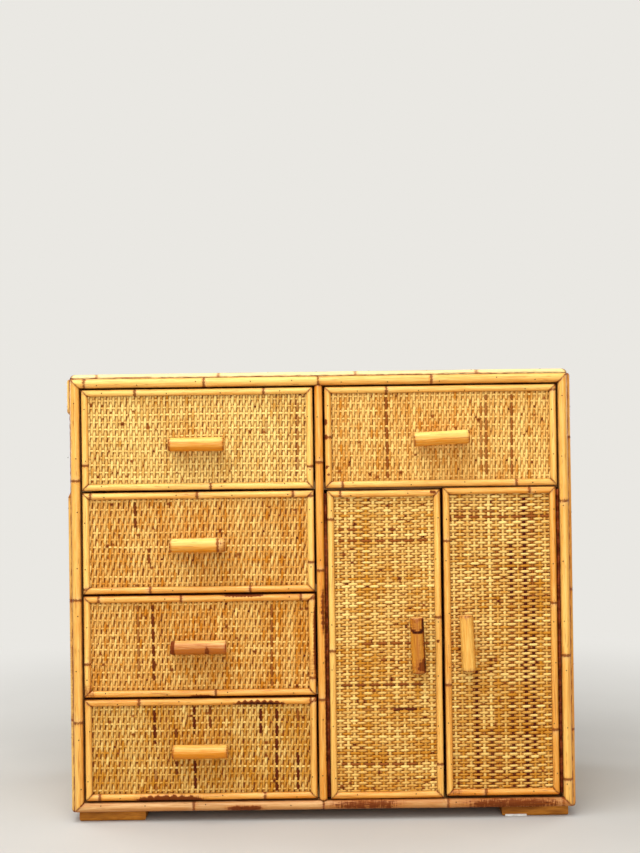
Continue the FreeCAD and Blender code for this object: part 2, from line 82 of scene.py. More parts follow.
# Soil and painted shade: poles darken towards their long edges, where they meet the mat.
EDGE_SOIL_AND_SHADE = 0.95
EDGE_SOIL_AND_SHADE_POWER = 2.2
TIP_SOIL = 0.9
TIP_SOIL_REACH = 1.9 * MM
MITRE_GAP = 0.2 * MM
MITRED = (True, True)
DRAWER_POLE = 13.5 * MM
FACE_POLE = 18.5 * MM
CENTRE_POLE = 16.0 * MM
TOP_POLE = 18.0 * MM
SIDE_POLE = 14.0 * MM

# Ranges for the looks of poles that no view fixes
FIRST_RING = (0.05, 0.22)
RING_STEP = (0.2, 0.36)
RING_TO_END = 0.03
BARK_CHANCE = 0.3
BARK_REACH = (0.02, 0.05)
BARK_PLACE = (0.2, 0.8)
BARK_STRENGTH = (0.4, 0.8)
POLE_TONE = (-0.25, 0.35)

# Woven mats
PITCHES = (5.3 * MM, 14.1 * MM)
STRAND_THICKNESS = 0.8 * MM
MAT_MIDDLE = -1.15 * MM
MAT_LEVELS = 2.4 * MM
MAT_LAP = 5.0 * MM
WAVE_FLATNESS = 2.3
STRAND_STRAY = 0.06
WIDTH_STRAY = 0.07
STRAND_TILT = 0.05
SWAY = 0.18 * MM
SWAY_WAVES = (0.031, 0.012)
BEND_ACROSS = 0.7 * MM
BEND_ACROSS_WAVES = ((0.09, 0.055), (0.4, 1.3))
BEND_UPWARD = 0.8 * MM
BEND_UPWARD_WAVES = ((0.047, 0.08), (2.1, 0.9))
STRAND_TONE_LIMITS = (-0.6, 0.8)
SPAN_TONE = 0.14
CLOUD_TONE = 0.07
CLOUD_WAVES = ((0.019, 0.023), (1.1, 0.7))
CLOUD_SLANT = (0.041, 0.037)
SPOT_SHARE = 0.026
SPOT_REACH = (1.6, 3.8)
SPOT_DEPTH = (0.6, 1.1)

# Pulls
PULL_RADIUS = 13.5 * MM
PULL_RIM = 0.9 * MM
PULL_AROUND = 28
PULL_UNEVEN = 0.02
PULL_UNEVEN_WAVE = 0.09
PULL_SOIL_REACH = 2.2 * MM
# Pulls: a painted highlight pales their upper sides, and painted shade deepens their undersides.
PULL_PAINTED_HIGHLIGHT = 0.7
PULL_PAINTED_SHADE = 1.3
SAWN_END = np.array([0.02, 0.3, 0.6, 0.86])
PULL_DROP = {"left_drawer_2": 4.0 * MM, "right_drawer": 4.0 * MM}
SPACER_RADIUS = 7.0 * MM
SPACER_HALF_SPAN = 32 * MM
SPACER_AROUND = 16
SPACER_LOOK = (0.2, [], [])

# Pins
PIN_RADIUS = 1.25 * MM
PIN_RISE = 0.4 * MM
PIN_SIDES = 7
PIN_ARC = np.array([[1.0, -0.6], [1.0, 0.35], [0.72, 0.8], [0.22, 1.0]])
PIN_SPACING = 104.0 * MM
PIN_STRAY = 0.16
PIN_LEAN = (-0.35, 0.55)
PIN_FROM_RING = 6 * MM
PIN_BESIDE_RING = 9 * MM

# Seeds of the generators
FRONT_SEED = 100
PULL_SEED = 200
CASE_FRONT_SEED = 31
FLANK_SEED = 41
LID_SEED = 51
SEED_RANGE = 50

# Photograph's frame and the camera's fit to it
PHOTO_WIDTH = 640
SENSOR_WIDTH = 36.0
FOCAL_PIXELS = 1282.0
CAMERA_PLACE = (0.0082, -2.712, 0.7571)
CAMERA_YAW = math.radians(-0.127)
CAMERA_PITCH = math.radians(0.313)
CAMERA_ROLL = math.radians(-0.769)

FACES = {
    "front": ((1, 0, 0), (0, 0, 1), (0, -1, 0)),
    "right": ((0, 1, 0), (0, 0, 1), (1, 0, 0)),
    "left": ((0, -1, 0), (0, 0, 1), (-1, 0, 0)),
    "top": ((1, 0, 0), (0, 1, 0), (0, 0, 1)),
}

DRAWERS = ["left_drawer_1", "left_drawer_2", "left_drawer_3", "left_drawer_4", "right_drawer"]
DOORS = ["left_door", "right_door"]
FRONTS = DRAWERS + DOORS


# Mesh making


def grid_part(points, fields):
    """Quads over a family of grids, shape (strip, station, section, 3), each strip a closed tube.

    The section's last point joins its first, and the first and last sections are closed by caps.
    """
    strips, stations, section = points.shape[:3]
    strip = np.arange(strips)[:, None, None] * stations * section
    row = np.arange(stations - 1)[None, :, None] * section
    here = np.arange(section)[None, None, :]
    after = (here + 1) % section
    base = strip + row
    quads = np.stack(
        [base + here, base + after, base + section + after, base + section + here], axis=-1
    )
    first = strip[:, :, 0] + np.arange(section)[None, ::-1]
    last = strip[:, :, 0] + (stations - 1) * section + np.arange(section)[None, :]
    return {
        "points": points.reshape(-1, 3),
        "quads": quads.reshape(-1, 4),
        "caps": np.concatenate([first, last]),
        "fields": {name: values.reshape(-1, 3) for name, values in fields.items()},
    }


def vectors(**named):
    """Named vector fields, each from three numbers or arrays that fit together."""
    return {
        name: np.stack(np.broadcast_arrays(*values), axis=-1) for name, values in named.items()
    }


def make_piece(name, parts, finish, body, stands_for=()):
    """One mesh from several grid parts, with their vector fields kept as point attributes."""
    starts = np.cumsum([0] + [len(part["points"]) for part in parts])
    points = np.concatenate([part["points"] for part in parts])
    loops = []
    sizes = []
    soft = []
    for part, start in zip(parts, starts):
        for key in ("quads", "caps"):
            faces = part[key] + start
            loops.append(faces.ravel())
            sizes.append(np.full(len(faces), faces.shape[1]))
            soft.append(np.full(len(faces), key == "quads"))
    loops = np.concatenate(loops)
    sizes = np.concatenate(sizes)
    mesh = bpy.data.meshes.new(name)
    mesh.vertices.add(len(points))
    mesh.vertices.foreach_set("co", points.astype(np.float32).ravel())
    mesh.loops.add(len(loops))
    mesh.loops.foreach_set("vertex_index", loops.astype(np.int32))
    mesh.polygons.add(len(sizes))
    mesh.polygons.foreach_set("loop_start", (np.cumsum(sizes) - sizes).astype(np.int32))
    mesh.update(calc_edges=True)
    mesh.polygons.foreach_set("use_smooth", np.concatenate(soft))
    for field_name in parts[0]["fields"]:
        values = np.concatenate([part["fields"][field_name] for part in parts])
        attribute = mesh.attributes.new(field_name, "FLOAT_VECTOR", "POINT")
        attribute.data.foreach_set("vector", values.astype(np.float32).ravel())
    mesh.materials.append(finish)
    piece = new_object(name, mesh)
    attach(piece, body)
    if stands_for:
        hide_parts(*stands_for)


def new_object(name, data):
    """An object for a mesh, light or camera, linked into the scene."""
    made = bpy.data.objects.new(name, data)
    bpy.context.scene.collection.objects.link(made)
    return made


def face_at(side, corner):
    """A flat face of the piece: its lower left corner, its two directions and its way out."""
    across, upward, out = (np.array(axis, float) for axis in FACES[side])
    return {"corner": np.array(corner, float), "across": across, "upward": upward, "out": out}


def run_on(face, start, along):
    """A face turned to a run on it: across leads along the run, and upward leads inward from it."""
    return {
        "corner": face["corner"] + start[0] * face["across"] + start[1] * face["upward"],
        "across": along[0] * face["across"] + along[1] * face["upward"],
        "upward": along[1] * face["across"] - along[0] * face["upward"],
        "out": face["out"],
    }


def on_face(face, across, upward, out):
    """Points at distances across, up and out from a face's corner."""
    flat = across[..., None] * face["across"] + upward[..., None] * face["upward"]
    return face["corner"] + flat + out[..., None] * face["out"]


def slow_noise(rng, places, wavelength, terms=4):
    """Smooth unit noise along a line: a few sines of seeded wavelength and phase, averaged."""
    waves = wavelength * rng.uniform(*WAVE_SPREAD, terms)
    phases = rng.uniform(0, FULL_TURN, terms)
    return np.mean(np.sin(FULL_TURN * places[..., None] / waves + phases), axis=-1)


def ripple(across, upward, waves, starts):
    """Slow ups and downs over a face: a sine across times a sine upwards."""
    return np.sin(across / waves[0] + starts[0]) * np.sin(upward / waves[1] + starts[1])


# Split poles. Poles, pulls and mats carry three fields for their finishes: "grain" is the distance
# along, the distance round and a seed. "marks" on a pole is the distance to a node ring, the paler
# side of it and the bark weight; on a mat it is level, dark and the painted valley shade.
# "wear" is tone, which carries painted shade and highlight, then edge darkening from
# soil and painted shade, and sawn.


def pole_stations(length, rings):
    """Places along a pole: an even spacing, with closer ones round each node ring."""
    even = np.linspace(0, length, max(3, int(math.ceil(length / STATION)) + 1))
    near = (np.array(rings)[:, None] + RING_STATIONS).ravel() if rings else np.zeros(0)
    near = near[(near > STATION_FROM_END) & (near < length - STATION_FROM_END)]
    return np.unique(np.round(np.concatenate([even, near]), 5))


def ring_shape(places, rings):
    """Swell of a pole: a low bump at each node ring with a narrow groove in its middle."""
    swell = np.zeros_like(places)
    for ring in rings:
        away = places - ring
        swell += RING_BUMP * np.exp(-((away / RING_BUMP_REACH) ** 2))
        swell -= RING_GROOVE * np.exp(-((away / RING_GROOVE_REACH) ** 2))
    return swell


def mark_fields(places, lean, rings, bark):
    """Fields along a pole: distance to the nearest ring, the paler side of it, and bark weight.

    Bark goes all round, or lies round one place on the section where its side is given. Its extra
    values give its breadth, cut its border into teeth, or bend its line into a bow.
    """
    near = np.full_like(places, FAR_FROM_RINGS)
    paler = np.zeros_like(places)
    for ring in rings:
        away = places - ring
        near = np.minimum(near, np.abs(away))
        paler = np.maximum(paler, np.where(away > 0, np.exp(-away / PALE_REACH), 0))
    weight = np.zeros(np.broadcast_shapes(places.shape, lean.shape))
    for centre, reach, strength, side, extra in bark:
        line = centre + extra.get("bow", 0) * MM * ((lean - 0.5) / BOW_REACH) ** 2
        spot = strength * np.exp(-(((places - line) / reach) ** 4))
        breadth = extra.get("breadth", PLAIN_BREADTH)
        if "teeth" in extra:
            tooth = np.abs((places / (extra["teeth"] * MM)) % 2 - 1)
            breadth = breadth * (1 - extra.get("bite", PLAIN_BITE) * (1 - tooth**TOOTH_POWER))
        round_it = 1.0 if side is None else np.exp(-(((lean - side) / breadth) ** 2))
        weight = np.maximum(weight, spot * round_it)
    return near, paler, weight


def painted_side_shade(way):
    """Deeper tone where a surface looks down or to the right: painted shade for light from above-left.
    """
    downward = np.clip(-way[..., 2], 0, 1)
    rightward = np.clip(way[..., 0], 0, 1)
    return PAINTED_UNDERSIDE_SHADE * downward + PAINTED_RIGHT_SIDE_SHADE * rightward**2


def split_pole(face, width, length, mitres, look, rng):
    """Half-round pole laid along a straight run, on a face that is turned to the run.

    Formula: at each station the section is a half circle of half the width, times a swell that
    rises at the node rings. The angle goes from the outer edge over the crest to the inner edge,
    and the flat back closes it. At a mitred end a point is set back by its own distance from the
    outer edge. Where a length has split off, the rise drops to a thin ragged rest.
    """
    tone, rings, bark, *lost = look
    places = pole_stations(length, rings)
    angle = np.linspace(0, math.pi, CREST_POINTS)
    uneven = POLE_UNEVEN * slow_noise(rng, places, POLE_UNEVEN_WAVE)
    swell = 1 + ring_shape(places, rings) + uneven
    drift = POLE_DRIFT * slow_noise(rng, places, POLE_DRIFT_WAVE)
    half = width / 2
    inset = half - half * swell[:, None] * np.cos(angle) + drift[:, None]
    rise = half * swell[:, None] * np.sin(angle)
    for low, high in lost:
        inside = np.clip((places - low) / SPLIT_ENDS[0], 0, 1)
        inside = inside * np.clip((high - places) / SPLIT_ENDS[1], 0, 1)
        ragged = SPLIT_DEPTH + SPLIT_RAGGED * slow_noise(rng, places, SPLIT_WAVE)
        rise = rise * (1 - inside * ragged)[:, None]
    near_cut, far_cut = (np.clip(inset, 0, None) * mitred + MITRE_GAP for mitred in mitres)
    share = (places / length)[:, None]
    run = (1 - share) * near_cut + share * (length - far_cut)
    way = np.sin(angle)[:, None] * face["out"] - np.cos(angle)[:, None] * face["upward"]
    tip = np.minimum(run - near_cut, length - far_cut - run)
    # Soil and painted shade at the long edges where the pole meets the mat; dirt in the end joints.
    edge = 1 - np.sin(angle)
    edge_darkening = EDGE_SOIL_AND_SHADE * edge**EDGE_SOIL_AND_SHADE_POWER + TIP_SOIL * np.exp(-tip / TIP_SOIL_REACH)
    # The tone below goes deeper on the pole's underside and right side: painted shade.
    fields = vectors(
        grain=(run, half * angle, rng.uniform(0, SEED_RANGE)),
        marks=mark_fields(run, angle / math.pi, rings, bark),
        wear=(tone + painted_side_shade(way), np.clip(edge_darkening, 0, 1), 0.0),
    )
    part = grid_part(on_face(face, run, inset, rise)[None], fields)
    return part, pole_pins(face, width / 2, length, rings, rng)


def pole_pins(face, half, length, rings, rng):
    """Places and directions of the pins down a pole, about evenly spaced near its crest."""
    count = max(1, int(round(length / PIN_SPACING)))
    places = (np.arange(count) + 0.5) * length / count
    places = places + rng.uniform(-PIN_STRAY, PIN_STRAY, count) * length / count
    for ring in rings:
        places = np.where(np.abs(places - ring) < PIN_FROM_RING, ring + PIN_BESIDE_RING, places)
    lean = rng.uniform(*PIN_LEAN, count)
    centres = on_face(face, places, half + half * np.sin(lean), half * np.cos(lean))
    ways = np.cos(lean)[:, None] * face["out"] + np.sin(lean)[:, None] * face["upward"]
    return centres, ways


def pin_heads(groups):
    """Low round pin heads: a quarter arc turned about each pin's way out, sunk a little."""
    centres = np.concatenate([group[0] for group in groups])
    ways = np.concatenate([group[1] for group in groups])
    helper = np.where(np.abs(ways[:, :1]) < NEAR_PARALLEL, [[1.0, 0, 0]], [[0, 1.0, 0]])
    first = np.cross(ways, helper)
    first /= np.linalg.norm(first, axis=1, keepdims=True)
    second = np.cross(ways, first)
    turn = np.arange(PIN_SIDES) * FULL_TURN / PIN_SIDES
    ring = np.cos(turn)[:, None] * first[:, None] + np.sin(turn)[:, None] * second[:, None]
    flat = PIN_RADIUS * PIN_ARC[None, :, 0, None, None] * ring[:, None]
    tall = PIN_RISE * PIN_ARC[None, :, 1, None, None] * ways[:, None, None]
    return grid_part(centres[:, None, None] + flat + tall, {})


def seeded_look(rng, length):
    """A pole's tone, node rings and bark where no view fixes them, from a seeded generator."""
    rings = []
    place = rng.uniform(*FIRST_RING)
    while place < length - RING_TO_END:
        rings.append(place)
        place += rng.uniform(*RING_STEP)
    bark = []
    if rng.uniform() < BARK_CHANCE:
        reach = rng.uniform(*BARK_REACH)
        centre = rng.uniform(*BARK_PLACE) * length
        bark.append((centre, reach, rng.uniform(*BARK_STRENGTH), None, {}))
    return (rng.uniform(*POLE_TONE), rings, bark)


def sized_look(look, length, backwards=False):
    """A look written in millimetres, in metres along its run, turned round where that goes back."""
    tone, rings, bark, *lost = look

    def along(place):
        return length - place * MM if backwards else place * MM

    bark = [
        (along(centre), reach * MM, strength, side, dict(extra))
        for centre, reach, strength, side, *extra in bark
    ]
    lost = [sorted((along(low), along(high))) for low, high in lost]
    return (tone, sorted(along(ring) for ring in rings), bark, *lost)


def chosen_look(name, side, length, rng):
    """The look written for one pole; a seeded one where none is written."""
    look = POLE_MARKS.get(name, {}).get(side)
    if look is None:
        return seeded_look(rng, length)
    return sized_look(look, length, side in ("lower", "right"))


def lay_poles(face, runs, rng):
    """Split poles along runs on a face, and their pins.

    A run is the name and side of its look, the pole's width and length, its start, its way along,
    and whether each of its two ends is mitred.
    """
    laid = []
    for name, side, pole, length, start, along, mitres in runs:
        look = chosen_look(name, side, length, rng)
        laid.append(split_pole(run_on(face, start, along), pole, length, mitres, look, rng))
    return [part for part, _ in laid], [pins for _, pins in laid]


def pole_frame(name, face, width, height, pole, rng):
    """Four mitred split poles round a rectangle on a face, and their pins."""
    runs = [
        (name, "lower", pole, width, (width, 0), (-1, 0), MITRED),
        (name, "left", pole, height, (0, 0), (0, 1), MITRED),
        (name, "upper", pole, width, (0, height), (1, 0), MITRED),
        (name, "right", pole, height, (width, height), (0, -1), MITRED),
    ]
    return lay_poles(face, runs, rng)


# Woven mats


def strand_family(face, spread, strand, cross_pitch, turned, tone, rng, dark, falloff_shade):
    """One direction of a mat: parallel flat strands that go over and under the other direction.

    Formula: strand i runs along its own line; its height is a cosine of the distance along it with
    half a wave between two crossings, flattened at its tops, and its sign alternates from strand to
    strand. The section is a low crown. Each strand has its own width, offset, tilt and tone, and the
    tone goes deeper from the upper edge to the lower one by falloff_shade, a painted shade.
    """
    reach_across, reach = spread
    pitch = strand["pitch"]
    count = int(reach_across // pitch)
    margin = (reach_across - (count - 1) * pitch) / 2
    crossings = int(reach // cross_pitch)
    first = (reach - (crossings - 1) * cross_pitch) / 2
    stations = int(round(reach / cross_pitch * strand["detail"])) + 1
    along = np.linspace(0, reach, stations)
    number = np.arange(count)
    offset = margin + number * pitch + rng.normal(0, STRAND_STRAY, count) * pitch
    widths = strand["width"] * (1 + rng.normal(0, WIDTH_STRAY, count))
    parity = (np.where(number % 2 == 0, 1.0, -1.0) * strand["sign"])[:, None]
    phase = math.pi * (along - first) / cross_pitch
    wave = np.tanh(WAVE_FLATNESS * np.cos(phase)) / math.tanh(WAVE_FLATNESS)
    height = MAT_MIDDLE + strand["rise"] * parity * wave
    wander = rng.uniform(0, FULL_TURN, (count, 2))
    sway = np.sin(along / SWAY_WAVES[0] + wander[:, :1])
    sway = sway + np.sin(along / SWAY_WAVES[1] + wander[:, 1:])
    line = offset[:, None] + SWAY * sway + strand["slant"] * parity * np.sin(phase)
    tilt = rng.normal(0, STRAND_TILT, count)[:, None, None]
    section = np.array(strand["section"])
    side = section[:, 0] * widths[:, None, None]
    across = line[..., None] + side
    out = height[..., None] + section[:, 1] * STRAND_THICKNESS + tilt * side
    run = np.broadcast_to(along[:, None], across.shape)
    flat_u, flat_v = (run, across) if turned else (across, run)
    bend_u = BEND_ACROSS * ripple(flat_u, flat_v, *BEND_ACROSS_WAVES)
    bend_v = BEND_UPWARD * ripple(flat_u, flat_v, *BEND_UPWARD_WAVES)
    points = on_face(face, flat_u + bend_u, flat_v + bend_v, out)
    span_number = np.clip(np.round((along - first) / cross_pitch).astype(int) + 1, 0, crossings + 1)
    span_tone = rng.normal(0, SPAN_TONE, (count, crossings + 2))[:, span_number]
    strand_tone = np.clip(rng.normal(0, strand["uneven"], count), *STRAND_TONE_LIMITS)[:, None]
    cloud = ripple(flat_u, flat_v, *CLOUD_WAVES)
    cloud = cloud + np.sin(flat_u / CLOUD_SLANT[0] + flat_v / CLOUD_SLANT[1])
    # Painted shade: the tone deepens towards the mat's lower edge, for light falling off downwards.
    deeper = falloff_shade * (1 - flat_v / (reach_across if turned else reach))
    tones = (tone + strand["deeper"] + strand_tone + span_tone)[..., None]
    tones = tones + CLOUD_TONE * cloud + deeper
    shade = np.zeros((count, stations))
    spots = int(round(count * crossings * SPOT_SHARE))
    spot_strand = rng.integers(0, count, spots)
    spot_place = rng.uniform(0, reach, spots)
    spot_reach = rng.uniform(*SPOT_REACH, spots) * MM
    spot_depth = rng.uniform(*SPOT_DEPTH, spots)
    for chosen, place, half, depth in zip(spot_strand, spot_place, spot_reach, spot_depth):
        spot = depth * np.exp(-(((along - place) / half) ** 2))
        shade[chosen] = np.maximum(shade[chosen], spot)
    for place, low, high, strength in dark:
        chosen = np.argmin(np.abs(offset - place))
        within = np.where((along >= low) & (along <= high), strength, 0.0)
        shade[chosen] = np.maximum(shade[chosen], within)
    narrowing = 1 - strand["core"] * np.abs(section[:, 0]) / 0.5
    seeds = rng.uniform(0, SEED_RANGE, count)[:, None, None]
    level = np.clip((out - MAT_MIDDLE) / MAT_LEVELS + 0.5 + strand["lift"], 0, 1)
    fields = vectors(
        grain=(run, side, seeds),
        marks=(level, shade[..., None] * narrowing, strand["valley_shade"]),
        wear=(tones, 0.0, 0.0),
    )
    if turned:
        points = points[:, ::-1]
        fields = {name: values[:, ::-1] for name, values in fields.items()}
    return grid_part(points, fields)


# Strands: width, rise of the wave and its sign, tone (deeper, uneven), slant between crossings, how
# much a dark mark narrows to the core, brightness (lift, and valley_shade: the weight of painted
# shade low in the weave), and stations for each crossing.

FULL_SECTION = [[-0.5, 0.05], [0.0, 0.62], [0.5, 0.05], [0.42, -0.45], [-0.42, -0.45]]
LEAN_SECTION = [[-0.5, -0.1], [0.0, 0.6], [0.5, -0.1], [0.0, -0.45]]
CLOSE = dict(sign=1.0, deeper=0.0, core=0.0, detail=5, section=FULL_SECTION)
SPARSE = dict(sign=-1.0, slant=0.0, core=0.0, detail=2.5, section=FULL_SECTION)
UPRIGHT_CLOSE = dict(CLOSE, width=5.75 * MM, rise=0.55 * MM, uneven=0.15, lift=0.1, valley_shade=0.75)
UPRIGHT_CLOSE.update(slant=0.4 * MM, core=0.35)
LEVEL_SPARSE = dict(SPARSE, width=3.9 * MM, rise=0.42 * MM, uneven=0.17, lift=0.12, valley_shade=0.3)
LEVEL_SPARSE.update(deeper=-0.05)
LEVEL_CLOSE = dict(CLOSE, width=5.2 * MM, rise=0.7 * MM, uneven=0.18, lift=0.06, valley_shade=0.85)
LEVEL_CLOSE.update(slant=0.2 * MM)
UPRIGHT_SPARSE = dict(SPARSE, width=5.6 * MM, rise=0.4 * MM, uneven=0.3, lift=0.15, valley_shade=0.85)
UPRIGHT_SPARSE.update(deeper=0.1)
SLANTED_CLOSE = dict(UPRIGHT_CLOSE, slant=0.85 * MM, width=5.4 * MM)
PLAINER_CLOSE = dict(UPRIGHT_CLOSE, detail=4, section=LEAN_SECTION)
PLAINER_SPARSE = dict(LEVEL_SPARSE, detail=2, section=LEAN_SECTION)
MATS = {
    "drawer": (UPRIGHT_CLOSE, LEVEL_SPARSE, True),
    "slanted": (SLANTED_CLOSE, LEVEL_SPARSE, True),
    "door": (LEVEL_CLOSE, UPRIGHT_SPARSE, False),
    "case": (PLAINER_CLOSE, PLAINER_SPARSE, True),
}


def woven_mat(face, size, rng, kind, tone, dark_close=(), dark_sparse=(), falloff_shade=0.0, pitches=PITCHES):
    """Both directions of a mat that fills a rectangle on a face: the close strands, then the sparse."""
    close, sparse, upright = MATS[kind]
    close = dict(close, pitch=pitches[0])
    sparse = dict(sparse, pitch=pitches[1])
    wide, tall = size if upright else size[::-1]
    return (
        strand_family(face, (wide, tall), close, pitches[1], not upright, tone, rng, dark_close, falloff_shade),
        strand_family(face, (tall, wide), sparse, pitches[0], upright, tone, rng, dark_sparse, falloff_shade),
    )


def frame_and_mat(name, side, corner, size, pole, seed, mat):
    """Frame poles and pins round a flat face, and the mat that fills it.

    The mat is its kind and tone, and where they matter its dark strands, painted falloff shade and
    pitches.
    """
    rng = np.random.default_rng(seed)
    face = face_at(side, corner)
    parts, pins = pole_frame(name, face, *size, pole, rng)
    inset = pole - MAT_LAP
    start = face["corner"] + inset * (face["across"] + face["upward"])
    mats = woven_mat(face_at(side, start), np.subtract(size, 2 * inset), rng, *mat)
    return parts, pins, mats


# Pulls


def turned_pole(centre, axis, radius, length, look, rng, around=PULL_AROUND):
    """Round pole with two sawn ends.

    Formula: a profile of distance along and radius is turned about a straight axis. The profile
    climbs each sawn end from the middle to the rim, rounds the rim, and swells at the node rings.
    """
    tone, rings, bark = look
    places = pole_stations(length, rings)
    uneven = PULL_UNEVEN * slow_noise(rng, places, PULL_UNEVEN_WAVE)
    swell = 1 + ring_shape(places, rings) + uneven
    for away in (places, length - places):
        swell = swell - PULL_RIM / radius * np.clip(1 - away / PULL_RIM, 0, 1) ** 2
    ends = np.ones_like(SAWN_END)
    run = np.concatenate([0 * ends, places, length * ends])
    size = radius * np.concatenate([SAWN_END, swell, SAWN_END[::-1]])
    sawn = np.concatenate([ends, 0 * places, ends])
    axis = np.array(axis, float) / np.linalg.norm(axis)
    helper = (0, 0, 1.0) if abs(axis[2]) < NEAR_PARALLEL else (-1.0, 0, 0)
    first = np.cross(helper, axis)
    first /= np.linalg.norm(first)
    second = np.cross(axis, first)
    turn = np.arange(around) * FULL_TURN / around
    ring = np.cos(turn)[:, None] * first + np.sin(turn)[:, None] * second
    middle = np.array(centre) + (run - length / 2)[:, None] * axis
    points = middle[:, None] + size[:, None, None] * ring
    edge_darkening = np.clip(np.exp(-np.minimum(run, length - run) / PULL_SOIL_REACH), 0, 1) * (1 - sawn)
    # Painted highlight on the pull's upper side; painted shade on its underside and right side.
    painted_top_light = PULL_PAINTED_HIGHLIGHT * np.clip(ring[:, 2], 0, 1) ** 2
    tones = tone + PULL_PAINTED_SHADE * painted_side_shade(ring) - painted_top_light
    fields = vectors(
        grain=(run[:, None], radius * turn, rng.uniform(0, SEED_RANGE)),
        marks=mark_fields(run[:, None], turn / FULL_TURN, rings, bark),
        wear=(tones, edge_darkening[:, None], sawn[:, None]),
    )
    return grid_part(points[None], fields)


# Shader helpers


def srgb(red, green, blue):
    """Linear colour of a display colour given in 0 to 255."""
    share = np.array([red, green, blue]) / 255.0
    linear = np.where(share <= 0.04045, share / 12.92, ((share + 0.055) / 1.055) ** 2.4)
    return (*linear.tolist(), 1.0)


def wire(tree, value, socket):
    """Links a socket to a socket, or sets a plain value on it."""
    if isinstance(value, bpy.types.NodeSocket):
        tree.links.new(value, socket)
    else:
        socket.default_value = value


def add_node(tree, kind, settings=None, inputs=None):
    """A node with its settings and inputs in place."""
    node = tree.nodes.new(kind)
    for key, value in (settings or {}).items():
        setattr(node, key, value)
    for key, value in (inputs or {}).items():
        wire(tree, value, node.inputs[key])
    return node


def maths(tree, operation, first, second=0.0, clamp=False):
    """A number worked out from two others."""
    settings = {"operation": operation, "use_clamp": clamp}
    return add_node(tree, "ShaderNodeMath", settings, {0: first, 1: second}).outputs[0]


def times(tree, first, second):
    """The product of two numbers."""
    return maths(tree, "MULTIPLY", first, second)


def span(tree, value, low, high, to_low=0.0, to_high=1.0, smooth=True):
    """A value stretched from one range to another, eased at both ends."""
    settings = {"interpolation_type": "SMOOTHSTEP" if smooth else "LINEAR", "clamp": True}
    inputs = {"Value": value, "From Min": low, "From Max": high, "To Min": to_low, "To Max": to_high}
    return add_node(tree, "ShaderNodeMapRange", settings, inputs).outputs[0]


def blend(tree, share, first, second, kind="MIX"):
    """Two colours mixed by a share."""
    settings = {"data_type": "RGBA", "blend_type": kind, "clamp_factor": True}
    return add_node(tree, "ShaderNodeMix", settings, {0: share, 6: first, 7: second}).outputs[2]


def tint(tree, colour, mask, share, target):
    """A colour drawn towards another where a mask is high, by a share of the mask."""
    return blend(tree, times(tree, mask, share), colour, target)


def scaled(tree, vector, scale):
    """A vector stretched along its three axes."""
    node = add_node(tree, "ShaderNodeVectorMath", {"operation": "MULTIPLY"}, {0: vector, 1: scale})
    return node.outputs[0]


def noise(tree, vector, scale, detail, rough, warp=0.0):
    """Cloudy values round one half."""
    inputs = {"Vector": vector, "Scale": scale, "Detail": detail, "Roughness": rough}
    inputs["Distortion"] = warp
    return add_node(tree, "ShaderNodeTexNoise", None, inputs).outputs[0]


def long_noise(tree, vector, stretch, detail, rough, warp=0.0):
    """Cloudy values round one half, drawn out by a stretch along the three axes."""
    return noise(tree, scaled(tree, vector, stretch), 1.0, detail, rough, warp)


def field(tree, name):
    """The three numbers of a piece's own point attribute, and the vector itself."""
    source = add_node(tree, "ShaderNodeAttribute", {"attribute_name": name}).outputs["Vector"]
    parts = add_node(tree, "ShaderNodeSeparateXYZ", None, {0: source})
    return (*parts.outputs, source)


def object_place(tree):
    """Place in the piece's own Object coordinates."""
    return add_node(tree, "ShaderNodeTexCoord").outputs["Object"]


def new_group(name, inputs, outputs):
    """An empty shader group with named sockets: the group, its inputs and where its outputs end."""
    group = bpy.data.node_groups.new(name, "ShaderNodeTree")
    for label, kind in inputs:
        group.interface.new_socket(name=label, in_out="INPUT", socket_type=f"NodeSocket{kind}")
    for label in outputs:
        group.interface.new_socket(name=label, in_out="OUTPUT", socket_type="NodeSocketFloat")
    start = group.nodes.new("NodeGroupInput")
    end = group.nodes.new("NodeGroupOutput")
    return group, start.outputs[: len(inputs)], end.inputs


def use_group(tree, group, *inputs):
    """A group placed in a tree with its inputs in order; gives its outputs."""
    node = tree.nodes.new("ShaderNodeGroup")
    node.node_tree = group
    for socket, value in zip(node.inputs, inputs):
        wire(tree, value, socket)
    return list(node.outputs)


def new_finish(name, settings):
    """A material with one Principled shader, whose plain values are set on its own sockets."""
    finish = bpy.data.materials.new(name)
    finish.use_nodes = True
    tree = finish.node_tree
    tree.nodes.clear()
    shader = add_node(tree, "ShaderNodeBsdfPrincipled", None, settings)
    output = tree.nodes.new("ShaderNodeOutputMaterial")
    tree.links.new(shader.outputs[0], output.inputs[0])
    return finish, tree, shader


def paint(tree, shader, colour, rough):
    """Colour and roughness led into a shader."""
    wire(tree, colour, shader.inputs["Base Color"])
    wire(tree, rough, shader.inputs["Roughness"])


def bump(tree, shader, height, strength, distance):
    """A height that bends the shader's normal."""
    inputs = {"Strength": strength, "Distance": distance, "Height": height}
    node = add_node(tree, "ShaderNodeBump", None, inputs)
    tree.links.new(node.outputs[0], shader.inputs["Normal"])


# Shared effects

# Layers of the fibres: stretch, detail and roughness of the noise, and the range that is kept.
FIBRE_LAYERS = {
    "Streak": ((1.0, 1.0, 1.0), 3.0, 0.6, 0.3, 0.7),
    "Broad": ((0.22, 0.16, 1.0), 2.0, 0.5, 0.3, 0.7),
    "Fleck": ((1.6, 0.55, 1.9), 1.0, 0.4, 0.65, 0.77),
    "Thread": ((0.32, 0.7, 2.3), 2.0, 0.5, 0.59, 0.71),
}


